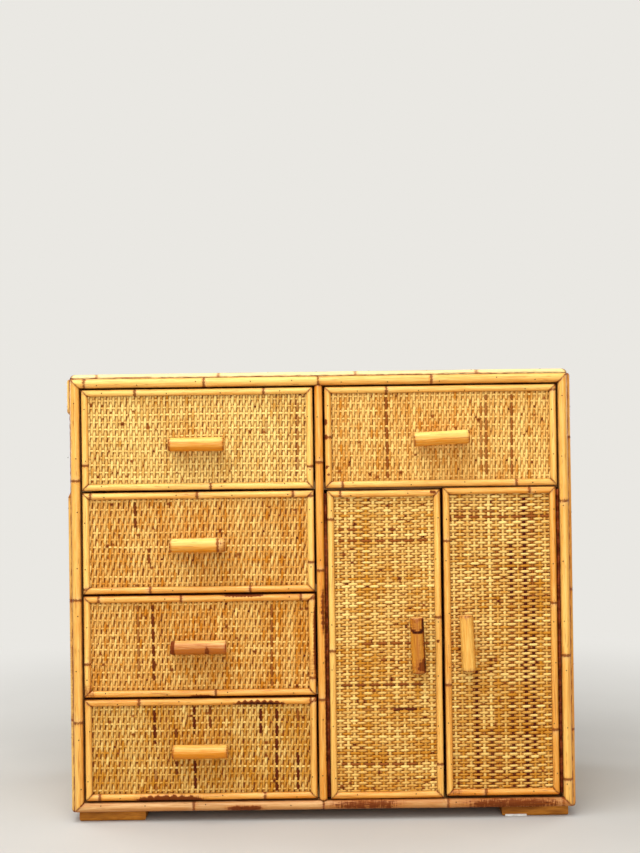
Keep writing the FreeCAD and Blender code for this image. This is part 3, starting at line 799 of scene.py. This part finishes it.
def make_fibre_group():
    """Long streaks along a strand or pole: fine ones, broad ones, short dark flecks and threads."""
    sockets = [("Grain", "Vector"), ("Along", "Float"), ("Around", "Float")]
    group, (grain, along, around), ends = new_group("cane fibres", sockets, FIBRE_LAYERS)
    stretch = add_node(group, "ShaderNodeCombineXYZ", None, {0: along, 1: around, 2: 7.3})
    lines = scaled(group, grain, stretch.outputs[0])
    for name, (ratio, detail, rough, low, high) in FIBRE_LAYERS.items():
        wire(group, span(group, long_noise(group, lines, ratio, detail, rough), low, high), ends[name])
    return group


def make_ring_group():
    """Dark line at a node ring, uneven in width, with a soft stain round it."""
    sockets = [("Away", "Float"), ("Grain", "Vector")]
    group, (away, grain), ends = new_group("node rings", sockets, ["Line", "Stain"])
    ragged = long_noise(group, grain, (90.0, 420.0, 3.1), 2.0, 0.6)
    width = span(group, ragged, 0.25, 0.75, 0.0012, 0.0036)
    ratio = maths(group, "DIVIDE", away, width)
    wire(group, span(group, ratio, 0.75, 1.35, 1.0, 0.0), ends["Line"])
    stain = maths(group, "DIVIDE", away, times(group, ragged, 0.012))
    wire(group, span(group, stain, 0.2, 1.3, 1.0, 0.0), ends["Stain"])
    return group


def make_bark_group():
    """Dark bark left on a pole where its bark weight is high, mottled and hatched at its border."""
    sockets = [("Weight", "Float"), ("Grain", "Vector")]
    group, (weight, grain), ends = new_group("bark patches", sockets, ["Patch", "Edge"])
    cloud = long_noise(group, grain, (90.0, 330.0, 2.7), 3.0, 0.6, 0.4)
    hatch = long_noise(group, grain, (420.0, 50.0, 3.9), 2.0, 0.5)
    mottle = maths(group, "ADD", times(group, cloud, 0.45), times(group, hatch, 0.5))
    level = maths(group, "ADD", weight, maths(group, "SUBTRACT", mottle, 0.2))
    wire(group, span(group, level, 0.74, 0.84), ends["Patch"])
    wire(group, span(group, level, 0.5, 0.8), ends["Edge"])
    return group


def make_wood_group():
    """Straight board grain along one axis: growth bands with fine pores, from Object coordinates."""
    sockets = [("Place", "Vector"), ("Stretch", "Vector")]
    group, (place, stretch), ends = new_group("board grain", sockets, ["Band", "Pore"])
    lines = scaled(group, place, stretch)
    warped = noise(group, lines, 1.0, 4.0, 0.6, 0.8)
    wire(group, span(group, warped, 0.32, 0.68), ends["Band"])
    fine = long_noise(group, lines, (3.0, 6.0, 6.0), 2.0, 0.6)
    wire(group, span(group, fine, 0.4, 0.75), ends["Pore"])
    return group


FIBRES = make_fibre_group()
RINGS = make_ring_group()
BARK = make_bark_group()
WOOD = make_wood_group()


# Finishes

WARM_GLINT = (1.0, 0.86, 0.6, 1.0)
COAT_TINT = (1.0, 0.94, 0.8, 1.0)


def lacquered_cane(name, pale, deep, gloss):
    """Lacquered cane pole: honey streaks, dark node rings, bark, soil and painted shade at its edges."""
    glint = {"Specular IOR Level": 0.22, "Specular Tint": WARM_GLINT}
    finish, tree, shader = new_finish(name, {"Coat Roughness": 0.2, "Coat Tint": COAT_TINT, **glint})
    *_, grain = field(tree, "grain")
    away, paler, weight, _ = field(tree, "marks")
    tone, edge_darkening, sawn, _ = field(tree, "wear")
    streak, broad, fleck, thread = use_group(tree, FIBRES, grain, 26.0, 700.0)
    line, stain = use_group(tree, RINGS, away, grain)
    patch, edge = use_group(tree, BARK, weight, grain)
    streaks = maths(tree, "ADD", times(tree, streak, 0.42), times(tree, broad, 0.34))
    # The tone carries painted shade on undersides and right sides.
    colour = blend(tree, maths(tree, "ADD", streaks, tone, clamp=True), pale, deep)
    # Tone below zero pales the colour: painted highlight. The paler side of a node ring is the cane's
    # own.
    painted_highlight = span(tree, tone, -0.3, -0.9)
    paler_and_highlight = maths(tree, "MAXIMUM", times(tree, paler, 0.35), painted_highlight)
    colour = blend(tree, paler_and_highlight, colour, srgb(255, 242, 184))
    colour = tint(tree, colour, fleck, 0.5, srgb(150, 84, 24))
    colour = tint(tree, colour, stain, 0.38, srgb(190, 98, 22))
    line = times(tree, line, span(tree, painted_highlight, 0.0, 1.0, 0.85, 0.25))
    colour = blend(tree, line, colour, srgb(116, 52, 8))
    colour = tint(tree, colour, edge, 0.6, srgb(166, 88, 24))
    colour = tint(tree, colour, patch, 0.94, srgb(106, 42, 6))
    colour = tint(tree, colour, span(tree, weight, 1.05, 1.45), patch, srgb(54, 12, 2))
    colour = tint(tree, colour, thread, 0.7, srgb(168, 88, 16))
    cloud = long_noise(tree, grain, (60.0, 260.0, 5.1), 3.0, 0.6)
    # Soil and painted shade at the edges, in a deep maroon.
    colour = tint(tree, colour, edge_darkening, span(tree, cloud, 0.36, 0.64, 0.45, 1.25), srgb(120, 28, 1))
    pith = span(tree, fleck, 0.0, 1.0, 0.0, 0.6)
    colour = blend(tree, sawn, colour, blend(tree, pith, srgb(222, 166, 88), srgb(120, 72, 30)))
    dull = maths(tree, "MAXIMUM", patch, sawn)
    rough = span(tree, streak, 0.0, 1.0, 0.34, 0.5)
    paint(tree, shader, colour, maths(tree, "ADD", rough, times(tree, dull, 0.35)))
    bump(tree, shader, maths(tree, "SUBTRACT", streak, times(tree, patch, 0.8)), 0.25, 0.0003)
    bare = maths(tree, "MAXIMUM", dull, line)
    wire(tree, span(tree, bare, 0.0, 1.0, gloss, 0.0), shader.inputs["Coat Weight"])
    return finish


def woven_cane(name, pale, deep):
    """Woven strand: own tone, fine streaks along it, painted shade low in the weave, some dark strands.
    """
    finish, tree, shader = new_finish(name, {"Specular IOR Level": 0.12, "Specular Tint": WARM_GLINT})
    *_, grain = field(tree, "grain")
    level, dark, valley_shade, _ = field(tree, "marks")
    tone, *_ = field(tree, "wear")
    streak, broad, fleck, _ = use_group(tree, FIBRES, grain, 60.0, 1500.0)
    streaks = maths(tree, "ADD", times(tree, streak, 0.4), times(tree, broad, 0.34))
    colour = blend(tree, maths(tree, "ADD", streaks, tone, clamp=True), pale, deep)
    colour = tint(tree, colour, fleck, 0.4, srgb(140, 76, 24))
    # Painted shade: strands darken where they dip low in the weave, by the valley_shade weight.
    colour = tint(tree, colour, span(tree, level, 0.86, 0.36), valley_shade, srgb(172, 92, 10))
    colour = blend(tree, span(tree, dark, 0.0, 0.5), colour, srgb(150, 82, 28))
    colour = blend(tree, span(tree, dark, 0.45, 1.0), colour, srgb(80, 20, 8))
    paint(tree, shader, colour, span(tree, streak, 0.0, 1.0, 0.42, 0.6))
    bump(tree, shader, streak, 0.2, 0.0002)
    return finish


def grained_board(name, pale, deep, stretch, rough=(0.5, 0.65)):
    """Plain board: growth bands and pores stretched along the grain."""
    finish, tree, shader = new_finish(name, {"Specular IOR Level": 0.15})
    band, pore = use_group(tree, WOOD, object_place(tree), stretch)
    colour = blend(tree, band, pale, deep)
    colour = blend(tree, times(tree, pore, 0.35), colour, deep, "MULTIPLY")
    paint(tree, shader, colour, span(tree, band, 0.0, 1.0, *rough))
    bump(tree, shader, pore, 0.25, 0.0003)
    return finish


def aged_metal(name, bright, tarnish, scale):
    """Metal with cloudy tarnish that is darker and rougher than the bright parts."""
    finish, tree, shader = new_finish(name, {"Metallic": 1.0})
    place = object_place(tree)
    cloud = span(tree, noise(tree, place, scale, 4.0, 0.6), 0.35, 0.65)
    paint(tree, shader, blend(tree, cloud, bright, tarnish), span(tree, cloud, 0.0, 1.0, 0.3, 0.55))
    bump(tree, shader, noise(tree, place, scale * 9.0, 2.0, 0.5), 0.12, 0.0002)
    return finish


def moulded(name, pale, deep, scale):
    """Moulded or painted surface: a fine mottle in colour and roughness."""
    finish, tree, shader = new_finish(name, {"Specular IOR Level": 0.4})
    cloud = span(tree, noise(tree, object_place(tree), scale, 3.0, 0.6), 0.3, 0.7)
    paint(tree, shader, blend(tree, cloud, pale, deep), span(tree, cloud, 0.0, 1.0, 0.4, 0.6))
    bump(tree, shader, cloud, 0.1, 0.0002)
    return finish


GRAIN_UPWARD = (100.0, 100.0, 3.2)
GRAIN_ACROSS = (3.2, 100.0, 100.0)
PLY_TONES = (srgb(202, 148, 90), srgb(172, 116, 62))
POLE_CANE = lacquered_cane("honey pole cane", srgb(252, 206, 112), srgb(220, 134, 26), 0.45)
PULL_CANE = lacquered_cane("pull cane", srgb(254, 212, 116), srgb(216, 132, 14), 0.35)
DARK_PULL_CANE = lacquered_cane("dark pull cane", srgb(254, 206, 128), srgb(178, 96, 12), 0.35)
SMOKED_PULL_CANE = lacquered_cane("smoked pull cane", srgb(240, 172, 58), srgb(164, 88, 8), 0.35)
BASE_CANE = lacquered_cane("faded rail cane", srgb(244, 204, 144), srgb(194, 132, 70), 0.25)
MAT_CANE = woven_cane("woven mat cane", srgb(255, 218, 130), srgb(200, 132, 36))
WARM_MAT_CANE = woven_cane("warm mat cane", srgb(255, 211, 122), srgb(206, 128, 32))
PLYWOOD = grained_board("case plywood", *PLY_TONES, GRAIN_UPWARD)
LEVEL_PLY = grained_board("level plywood", *PLY_TONES, GRAIN_ACROSS)
# Front boards show only through the weave and in the gaps; their dark red-brown is painted shade.
SHADE_DARK_BOARD = grained_board("front board dark with painted shade", srgb(146, 70, 26), srgb(112, 48, 15), GRAIN_UPWARD)
SOFTWOOD = grained_board("drawer softwood", srgb(224, 188, 136), srgb(198, 154, 98), (70.0, 4.0, 70.0))
FOOT_GRAIN = (9.0, 60.0, 70.0)
FOOT_WOOD = grained_board("foot wood", srgb(192, 122, 36), srgb(138, 78, 12), FOOT_GRAIN, (0.45, 0.6))
# Hinge brass with cloudy tarnish, set dark and red partly as painted shade for the deep hinge gaps.
SHADE_DARK_BRASS = aged_metal("hinge brass dark with painted shade", srgb(142, 70, 36), srgb(84, 32, 14), 60.0)
ZINC = aged_metal("zinc plate", srgb(200, 200, 196), srgb(140, 138, 132), 90.0)
PIN_STEEL = aged_metal("pin steel", srgb(74, 42, 20), srgb(44, 22, 10), 300.0)
CATCH_PLASTIC = moulded("catch plastic", srgb(120, 92, 62), srgb(92, 68, 44), 200.0)
STRIP = moulded("glide strip", srgb(236, 234, 228), srgb(206, 202, 194), 120.0)


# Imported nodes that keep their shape


def dress(nodes, finish):
    """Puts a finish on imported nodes, in their own material slots."""
    for name in nodes:
        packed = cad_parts[name]
        if not packed.material_slots:
            packed.data.materials.append(finish)
        for place in packed.material_slots:
            place.material = finish


dress(["left_side_panel", "right_side_panel", "back_panel", "centre_partition"], PLYWOOD)
dress(["top_panel", "bottom_panel", "cupboard_top_board", "cupboard_shelf"], LEVEL_PLY)
dress([f"{name}_front_board" for name in FRONTS], SHADE_DARK_BOARD)
dress(["runners_and_cleats"] + [f"{name}_box" for name in DRAWERS], SOFTWOOD)
dress(["feet"], FOOT_WOOD)
dress(["foot_glide_strip"], STRIP)
dress(["hinge_case_leaves"] + [f"{name}_hinge_leaf" for name in DOORS], SHADE_DARK_BRASS)
dress([f"{name}_pull_screws" for name in DRAWERS] + [f"{name}_fittings" for name in DOORS], ZINC)
dress(["door_catches"], CATCH_PLASTIC)


# Looks of single poles, in millimetres from the left end or from the lower end: tone, places of the
# node rings, bark marks, and any length that has split off. A bark mark has its centre, reach and
# strength, the share of the way round where it lies or None for all round, and its extra values.

FINE_TEETH = (("teeth", 3), ("breadth", 0.26))
POLE_MARKS = {
    "left_drawer_1": {
        "lower": (-0.25, [253], []),
        "upper": (-0.25, [106, 359], []),
        "left": (-0.15, [50], []),
        "right": (-0.25, [43], []),
    },
    "left_drawer_2": {
        "lower": (0.1, [132, 328], []),
        "upper": (-0.05, [16, 226, 414], []),
        "left": (-0.3, [10], []),
        "right": (-0.3, [58, 188], []),
    },
    "left_drawer_3": {
        "lower": (0.2, [258], [(14, 12, 0.4, None), (230, 24, 0.95, 0.2, *FINE_TEETH)]),
        "upper": (0.2, [30, 192, 427], [(28, 9, 0.5, 0.8), (315, 44, 0.95, 0.2, *FINE_TEETH)]),
        "left": (-0.05, [66], [(12, 16, 0.5, None)]),
        "right": (0.0, [34, 190], [(60, 40, 0.4, None), (110, 74, 1.0, 0.2, *FINE_TEETH)]),
    },
    "left_drawer_4": {
        "lower": (
            0.2,
            [28, 352],
            [(166, 68, 1.15, 0.18, ("breadth", 0.62), ("teeth", 7.8), ("bite", 0.4))],
        ),
        "upper": (
            0.15,
            [107, 444],
            [(342, 46, 2.0, 0.8, ("breadth", 0.42), ("teeth", 6.3), ("bite", 0.6))],
        ),
        "left": (0.0, [], []),
        "right": (0.05, [192], []),
    },
    "right_drawer": {
        "lower": (-0.05, [34, 375], []),
        "upper": (-0.15, [122], []),
        "left": (
            -0.05,
            [100],
            [(129, 6, 1.2, 0.25), (100, 5, 1.1, 0.25), (41, 4, 0.9, 0.3), (27, 3, 0.8, 0.5)],
        ),
        "right": (-0.15, [188], []),
    },
    "left_door": {
        "lower": (0.2, [], []),
        "upper": (0.0, [26], [(208, 8, 0.8, 0.4)]),
        "left": (-0.15, [290, 548], []),
        "right": (-0.05, [66, 354], [(307, 4, 0.8, 0.6)]),
    },
    "right_door": {
        "lower": (0.4, [77], [(16, 20, 0.45, None)]),
        "upper": (0.25, [170], []),
        "left": (0.1, [218, 500], []),
        "right": (0.2, [128, 376], []),
    },
    "left_stile": {"left": (0.0, [176, 416, 650], [])},
    "right_stile": {"right": (-0.05, [54, 296, 599], [])},
    "top_rail_left": {"left": (-0.2, [29, 264], [])},
    "top_rail_right": {"left": (-0.05, [222], [])},
    "bottom_rail_left": {"right": (0.35, [234], [(335, 42, 0.75, 0.36, ("breadth", 0.3))])},
    "bottom_rail_right": {
        "right": (
            0.6,
            [244, 469],
            [(84, 88, 0.6, 0.5, ("breadth", 0.7)), (372, 122, 0.63, 0.45, ("breadth", 0.7))],
        ),
    },
    "centre_pole": {
        "left": (
            0.34,
            [197, 450, 662],
            [
                (190, 170, 0.85, 0.88, ("breadth", 0.18), ("teeth", 5)),
                (372, 52, 0.72, 0.66, ("breadth", 0.3), ("teeth", 2.5)),
            ],
        ),
    },
    "left_flank": {
        "right": (-0.1, [180, 415], [(700, 90, 0.9, None), (240, 160, 0.35, None)], (622, 792)),
    },
    "right_flank": {"left": (0.2, [150, 425, 724], [])},
    "lid": {
        # The lid's front pole is pale from its low tone: a painted highlight for strong light from
        # above.
        "lower": (-0.62, [52, 292, 562, 800], []),
        "left": (-0.2, [130, 330], []),
        "right": (-0.2, [90, 300], []),
        "upper": (-0.25, [160, 420, 700, 900], []),
    },
}

# Mats of the fronts: finish, kind, tone, painted falloff shade towards the lower edge, close and
# sparse pitch in millimetres. The tones deepen from the top drawer down, partly as painted shade.

FRONT_MATS = {
    "left_drawer_1": (MAT_CANE, "drawer", -0.08, 0.0, (5.55, 14.1)),
    "left_drawer_2": (WARM_MAT_CANE, "slanted", 0.17, 0.05, (5.05, 14.6)),
    "left_drawer_3": (WARM_MAT_CANE, "slanted", 0.24, 0.0, (4.95, 14.5)),
    "left_drawer_4": (MAT_CANE, "slanted", 0.29, 0.1, (5.2, 14.4)),
    "right_drawer": (WARM_MAT_CANE, "drawer", 0.07, 0.0, (5.0, 14.5)),
    "left_door": (MAT_CANE, "door", 0.1, 0.22, (5.35, 13.9)),
    "right_door": (MAT_CANE, "door", 0.07, 0.3, (5.75, 14.0)),
}

# Dark strands of the mats, in millimetres from the left or lower edge of the front:
# place, where the dark starts and ends along the strand, and strength.

DARK_CLOSE = {
    "left_drawer_1": [(422, 30, 170, 0.36), (366, 90, 140, 0.3)],
    "left_drawer_2": [(105, 131, 186, 0.85), (131, 60, 90, 0.7)],
    "left_drawer_3": [(106, 40, 180, 0.4), (137, 32, 180, 0.9), (371, 20, 180, 0.5)],
    "left_drawer_4": [
        (138, 110, 182, 1.0), (138, 20, 60, 0.4), (176, 50, 76, 0.9), (176, 118, 140, 0.8),
        (213, 20, 76, 1.0), (213, 128, 182, 1.0), (244, 140, 182, 0.8), (346, 128, 182, 1.0),
        (375, 16, 182, 1.0), (417, 20, 96, 1.0), (417, 140, 180, 0.5),
    ],
    "right_drawer": [
        (124, 20, 190, 0.6), (308, 30, 170, 0.36), (316, 20, 180, 0.45), (367, 20, 180, 0.5),
    ],
    "left_door": [
        (529, 20, 70, 0.5), (529, 110, 135, 0.7), (505, 20, 200, 0.55), (300, 60, 200, 0.5),
        (270, 100, 130, 0.5), (220, 20, 190, 0.65), (176, 60, 126, 0.3), (176, 126, 178, 0.85),
        (66, 20, 180, 0.5),
    ],
    "right_door": [(549, 10, 210, 0.5), (560, 10, 110, 0.36)],
}
DARK_SPARSE = {
    "right_door": [
        (62, 0, 250, 0.95), (90, 15, 130, 0.8), (90, 240, 275, 0.8), (104, 20, 130, 0.45),
        (104, 420, 500, 0.5), (133, 0, 190, 0.85), (133, 190, 385, 0.55), (133, 385, 500, 0.9),
        (161, 0, 604, 1.0), (175, 80, 385, 0.95), (175, 385, 560, 0.5),
    ],
}


def dress_front(name, number):
    """Frame poles, pins and mat of one drawer or door front."""
    low, high = np.array(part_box(f"{name}_frame_poles"))
    size = (high[0] - low[0], high[2] - low[2])
    corner = (low[0], high[1], low[2])
    inset = DRAWER_POLE - MAT_LAP
    dark = [
        [
            (place * MM - inset, start * MM - inset, end * MM - inset, strength)
            for place, start, end, strength in strands.get(name, [])
        ]
        for strands in (DARK_CLOSE, DARK_SPARSE)
    ]
    finish, kind, tone, falloff_shade, pitches = FRONT_MATS[name]
    mat = (kind, tone, *dark, falloff_shade, [pitch * MM for pitch in pitches])
    seed = FRONT_SEED + number
    parts, pins, mats = frame_and_mat(name, "front", corner, size, DRAWER_POLE, seed, mat)
    stands_for = [f"{name}_frame_poles"]
    make_piece(f"{name}_split_poles", parts, POLE_CANE, name, stands_for)
    make_piece(f"{name}_pins", [pin_heads(pins)], PIN_STEEL, name)
    make_piece(f"{name}_woven_mat", mats, finish, name, [f"{name}_weave"])


def dress_pull(name, number, axis, look):
    """Round pull on two spacers, in place of the plain one, and lower by its drop."""
    low, high = np.array(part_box(f"{name}_pull"))
    rng = np.random.default_rng(PULL_SEED + number)
    centre = (low + high) / 2
    centre[1] = low[1] + PULL_RADIUS
    centre[2] -= PULL_DROP.get(name, 0.0)
    length = max(high[0] - low[0], high[2] - low[2])
    parts = [turned_pole(centre, axis, PULL_RADIUS, length, sized_look(look, length), rng)]
    step = np.array(axis) / np.linalg.norm(axis) * SPACER_HALF_SPAN
    reach = high[1] - centre[1]
    for sign in (-1, 1):
        middle = centre + sign * step
        middle[1] = centre[1] + reach / 2
        spacer = (SPACER_RADIUS, reach, SPACER_LOOK, rng, SPACER_AROUND)
        parts.append(turned_pole(middle, (0, 1, 0), *spacer))
    finish = PULL_FINISH.get(name, PULL_CANE)
    make_piece(f"{name}_round_pull", parts, finish, name, [f"{name}_pull"])


# Looks of the pulls: axis, then tone, node rings and bark as for the poles.

PULL_FINISH = {"left_drawer_3": DARK_PULL_CANE, "left_door": SMOKED_PULL_CANE}
ACROSS = (1, 0, 0)
TILTED = (1, 0, 0.047)
LEANING = (-0.037, 0, 1)
LEANING_MORE = (-0.046, 0, 1)
DOOR_PULL_BARK = [
    (81, 2.8, 2.4, 0.58, ("bow", 9), ("breadth", 0.34)),
    (98, 16, 0.4, None),
    (54, 70, 0.95, 0.78, ("breadth", 0.18)),
    (95, 15, 2.0, 0.665, ("breadth", 0.05)),
    (14, 12, 0.4, None),
    (17, 15, 1.5, 0.68, ("breadth", 0.1)),
    (16, 15, 0.66, 0.56),
    (46, 26, 0.6, 0.52, ("breadth", 0.025)),
]
PULL_LOOKS = {
    "left_drawer_1": (ACROSS, (0.42, [], [(3, 4, 0.45, None)])),
    "left_drawer_2": (ACROSS, (0.12, [94], [(101, 8, 0.4, None), (3, 3, 0.5, None)])),
    "left_drawer_3": (
        ACROSS,
        (0.45, [], [(4, 4, 0.8, None), (72, 7, 0.7, 0.6), (54, 70, 0.55, 0.78)]),
    ),
    "left_drawer_4": (ACROSS, (0.5, [], [(3, 4, 0.45, None)])),
    "right_drawer": (TILTED, (0.2, [], [(40, 60, 0.3, 0.85)])),
    "left_door": (LEANING, (0.25, [], DOOR_PULL_BARK)),
    "right_door": (LEANING_MORE, (0.1, [], [])),
}

for number, name in enumerate(FRONTS):
    dress_front(name, number)
for number, name in enumerate(FRONTS):
    dress_pull(name, number + 1, *PULL_LOOKS[name])


# Case facing, whose mats have a kind and a tone

SIDE_MAT = ("case", 0.05)
TOP_MAT = ("case", 0.0)


def dress_case_front():
    """Stiles, rails in two lengths each, and the centre pole between them."""
    low, high = np.array(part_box("front_face_poles"))
    width = high[0] - low[0]
    height = high[2] - low[2]
    middle = width / 2
    face = face_at("front", (low[0], high[1], low[2]))
    rng = np.random.default_rng(CASE_FRONT_SEED)
    between = height - 2 * FACE_POLE
    beside = middle - CENTRE_POLE / 2
    runs = [
        ("left_stile", "left", FACE_POLE, height, (0, 0), (0, 1), MITRED),
        ("right_stile", "right", FACE_POLE, height, (width, height), (0, -1), MITRED),
        ("top_rail_left", "left", FACE_POLE, middle, (0, height), (1, 0), (True, False)),
        ("top_rail_right", "left", FACE_POLE, middle, (middle, height), (1, 0), (False, True)),
        ("bottom_rail_right", "right", FACE_POLE, middle, (width, 0), (-1, 0), (True, False)),
        ("bottom_rail_left", "right", FACE_POLE, middle, (middle, 0), (-1, 0), (False, True)),
        ("centre_pole", "left", CENTRE_POLE, between, (beside, FACE_POLE), (0, 1), (False, False)),
    ]
    laid, pins = lay_poles(face, runs, rng)
    parts = []
    base_parts = []
    for part, (name, *_) in zip(laid, runs):
        (base_parts if name.startswith("bottom") else parts).append(part)
    make_piece("case_split_poles", parts, POLE_CANE, "case", ["front_face_poles"])
    make_piece("base_split_poles", base_parts, BASE_CANE, "case", ["front_face_poles"])
    return pins


def case_strands(side, labels, mats, weave):
    """Both directions of a mat on the case, each a piece of its own."""
    for mat, label in zip(mats, labels):
        make_piece(f"{side}_{label}_strands", [mat], MAT_CANE, "case", [weave])


def dress_case_flanks():
    """Pole frames and mats of the two sides and the top."""
    low, high = np.array(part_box("side_edge_poles"))
    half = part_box("side_weave")[1][0]
    top_low, top_high = np.array(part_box("top_edge_poles"))
    depth = high[1] - low[1]
    flank = (depth, high[2] - low[2])
    lid = (top_high[0] - top_low[0], depth)
    right = (half, low[1], low[2])
    left = (-half, high[1], low[2])
    dressed = [
        frame_and_mat("right_flank", "right", right, flank, SIDE_POLE, FLANK_SEED, SIDE_MAT),
        frame_and_mat("left_flank", "left", left, flank, SIDE_POLE, FLANK_SEED + 1, SIDE_MAT),
        frame_and_mat("lid", "top", top_low, lid, TOP_POLE, LID_SEED, TOP_MAT),
    ]
    (right_poles, left_poles, top_poles), pins, (right_mats, left_mats, top_mats) = zip(*dressed)
    case_strands("right", ("upright", "level"), right_mats, "side_weave")
    case_strands("left", ("upright", "level"), left_mats, "side_weave")
    side_poles = right_poles + left_poles
    make_piece("side_split_poles", side_poles, POLE_CANE, "case", ["side_edge_poles"])
    make_piece("top_split_poles", top_poles, POLE_CANE, "case", ["top_edge_poles"])
    case_strands("top", ("close", "sparse"), top_mats, "top_weave")
    return [group for heads in pins for group in heads]


CASE_PINS = dress_case_front() + dress_case_flanks()
make_piece("case_pins", [pin_heads(CASE_PINS)], PIN_STEEL, "case")


# Floor, backdrop, light and camera

PAPER = (srgb(197, 195, 190), srgb(191, 189, 184))
FAR_PAPER = srgb(234, 232, 227)
WORLD_WHITE = (1.0, 0.985, 0.95, 1.0)
SHADOW_REACH = (0.7, 2.2)
SWEEP_HALF = 8.0
SWEEP_RUN = 5.5
SWEEP_BEND = 1.2
SWEEP_BEND_ROWS = 24
SWEEP_FLOOR_ROWS = (-2.0, 0.0, 2.0)
SWEEP_COLUMNS = 9
SWEEP_TOP = 7.0
WORLD_LIGHT = 0.26
WORLD_SEEN = 0.82

# Lights: place, the point that each looks at, size and power.
LIGHTS = {
    "sky": ((-0.6, -1.1, 3.1), (0.0, 0.0, 0.5), 3.0, 116.0),
    "front": ((0.3, -3.4, 1.3), (0.0, 0.0, 0.45), 3.0, 64.0),
    "left": ((-3.0, 1.6, 1.6), (0.0, 0.0, 0.45), 2.0, 42.0),
    "right": ((3.0, 1.6, 1.6), (0.0, 0.0, 0.45), 2.0, 42.0),
}


def studio_paper():
    """Pale paper with real shadows near the piece, and an even pale tone to the camera farther off."""
    finish, tree, shader = new_finish("studio paper", {"Specular IOR Level": 0.1})
    place = object_place(tree)
    cloud = span(tree, noise(tree, place, 1.5, 3.0, 0.6), 0.3, 0.7)
    paint(tree, shader, blend(tree, cloud, *PAPER), 0.8)
    far = add_node(tree, "ShaderNodeVectorMath", {"operation": "LENGTH"}, {0: place}).outputs["Value"]
    seen = add_node(tree, "ShaderNodeLightPath").outputs["Is Camera Ray"]
    share = times(tree, span(tree, far, *SHADOW_REACH), seen)
    glow = add_node(tree, "ShaderNodeEmission", None, {"Color": FAR_PAPER, "Strength": 1.0})
    mix = add_node(tree, "ShaderNodeMixShader", None, {0: share})
    tree.links.new(shader.outputs[0], mix.inputs[1])
    tree.links.new(glow.outputs[0], mix.inputs[2])
    output = next(node for node in tree.nodes if node.type == "OUTPUT_MATERIAL")
    tree.links.new(mix.outputs[0], output.inputs[0])
    return finish


def sweep_sheet():
    """Floor and backdrop in one sheet: a level run, a quarter turn and an upright run, made wide."""
    turn = np.linspace(0, math.pi / 2, SWEEP_BEND_ROWS)
    floor = np.array([-SWEEP_HALF, *SWEEP_FLOOR_ROWS])
    back = SWEEP_RUN + SWEEP_BEND
    depth = np.concatenate([floor, SWEEP_RUN + SWEEP_BEND * np.sin(turn), [back]])
    rise = np.concatenate([0 * floor, SWEEP_BEND - SWEEP_BEND * np.cos(turn), [SWEEP_TOP]])
    across = np.linspace(-SWEEP_HALF, SWEEP_HALF, SWEEP_COLUMNS)
    shape = (len(depth), len(across))
    points = np.stack(np.broadcast_arrays(across, depth[:, None], rise[:, None]), axis=-1)
    number = np.arange(shape[0] * shape[1]).reshape(shape)
    quads = np.stack([number[:-1, :-1], number[:-1, 1:], number[1:, 1:], number[1:, :-1]], axis=-1)
    mesh = bpy.data.meshes.new("studio_sweep")
    mesh.from_pydata(points.reshape(-1, 3).tolist(), [], quads.reshape(-1, 4).tolist())
    mesh.polygons.foreach_set("use_smooth", np.ones(len(mesh.polygons), bool))
    mesh.materials.append(studio_paper())
    sheet = new_object("studio_sweep", mesh)


def aimed(place, back, up):
    """A turn and place whose Z axis points back and whose Y axis leans towards up."""
    back = np.array(back, float) / np.linalg.norm(back)
    right = np.cross(np.array(up, float), back)
    right /= np.linalg.norm(right)
    turn = np.eye(4)
    turn[:3] = np.stack([right, np.cross(back, right), back, place], axis=-1)
    return Matrix(turn.tolist())


def area_light(name, place, target, size, power):
    """A square soft light that looks from one place at another."""
    light = bpy.data.lights.new(name, "AREA")
    light.size = size
    light.energy = power
    lamp = new_object(name, light)
    lamp.visible_camera = False
    lamp.matrix_world = aimed(place, np.subtract(place, target), (0, 0, 1))


def place_camera():
    """Camera at the photograph's angle: yaw and pitch give its way, roll turns it about that way."""
    flat = math.cos(CAMERA_PITCH)
    forward = np.array(
        [math.sin(CAMERA_YAW) * flat, math.cos(CAMERA_YAW) * flat, math.sin(CAMERA_PITCH)]
    )
    level = np.array([math.cos(CAMERA_YAW), -math.sin(CAMERA_YAW), 0.0])
    lift = np.cross(level, forward)
    up = -math.sin(CAMERA_ROLL) * level + math.cos(CAMERA_ROLL) * lift
    lens = bpy.data.cameras.new("photo_camera")
    lens.sensor_fit = "HORIZONTAL"
    lens.sensor_width = SENSOR_WIDTH
    lens.lens = FOCAL_PIXELS / PHOTO_WIDTH * SENSOR_WIDTH
    camera = new_object("photo_camera", lens)
    camera.matrix_world = aimed(CAMERA_PLACE, -forward, up)
    bpy.context.scene.camera = camera


def light_world():
    """Even white light from all round, which the camera sees as a pale tone."""
    world = bpy.data.worlds.new("studio")
    world.use_nodes = True
    tree = world.node_tree
    tree.nodes.clear()
    ray = add_node(tree, "ShaderNodeLightPath").outputs["Is Camera Ray"]
    level = span(tree, ray, 0.0, 1.0, WORLD_LIGHT, WORLD_SEEN, smooth=False)
    glow = add_node(tree, "ShaderNodeBackground", None, {"Color": WORLD_WHITE, "Strength": level})
    output = tree.nodes.new("ShaderNodeOutputWorld")
    tree.links.new(glow.outputs[0], output.inputs[0])
    bpy.context.scene.world = world


sweep_sheet()
light_world()
for lamp_name, lamp in LIGHTS.items():
    area_light(lamp_name, *lamp)
place_camera()
bpy.context.scene.view_settings.view_transform = "Standard"
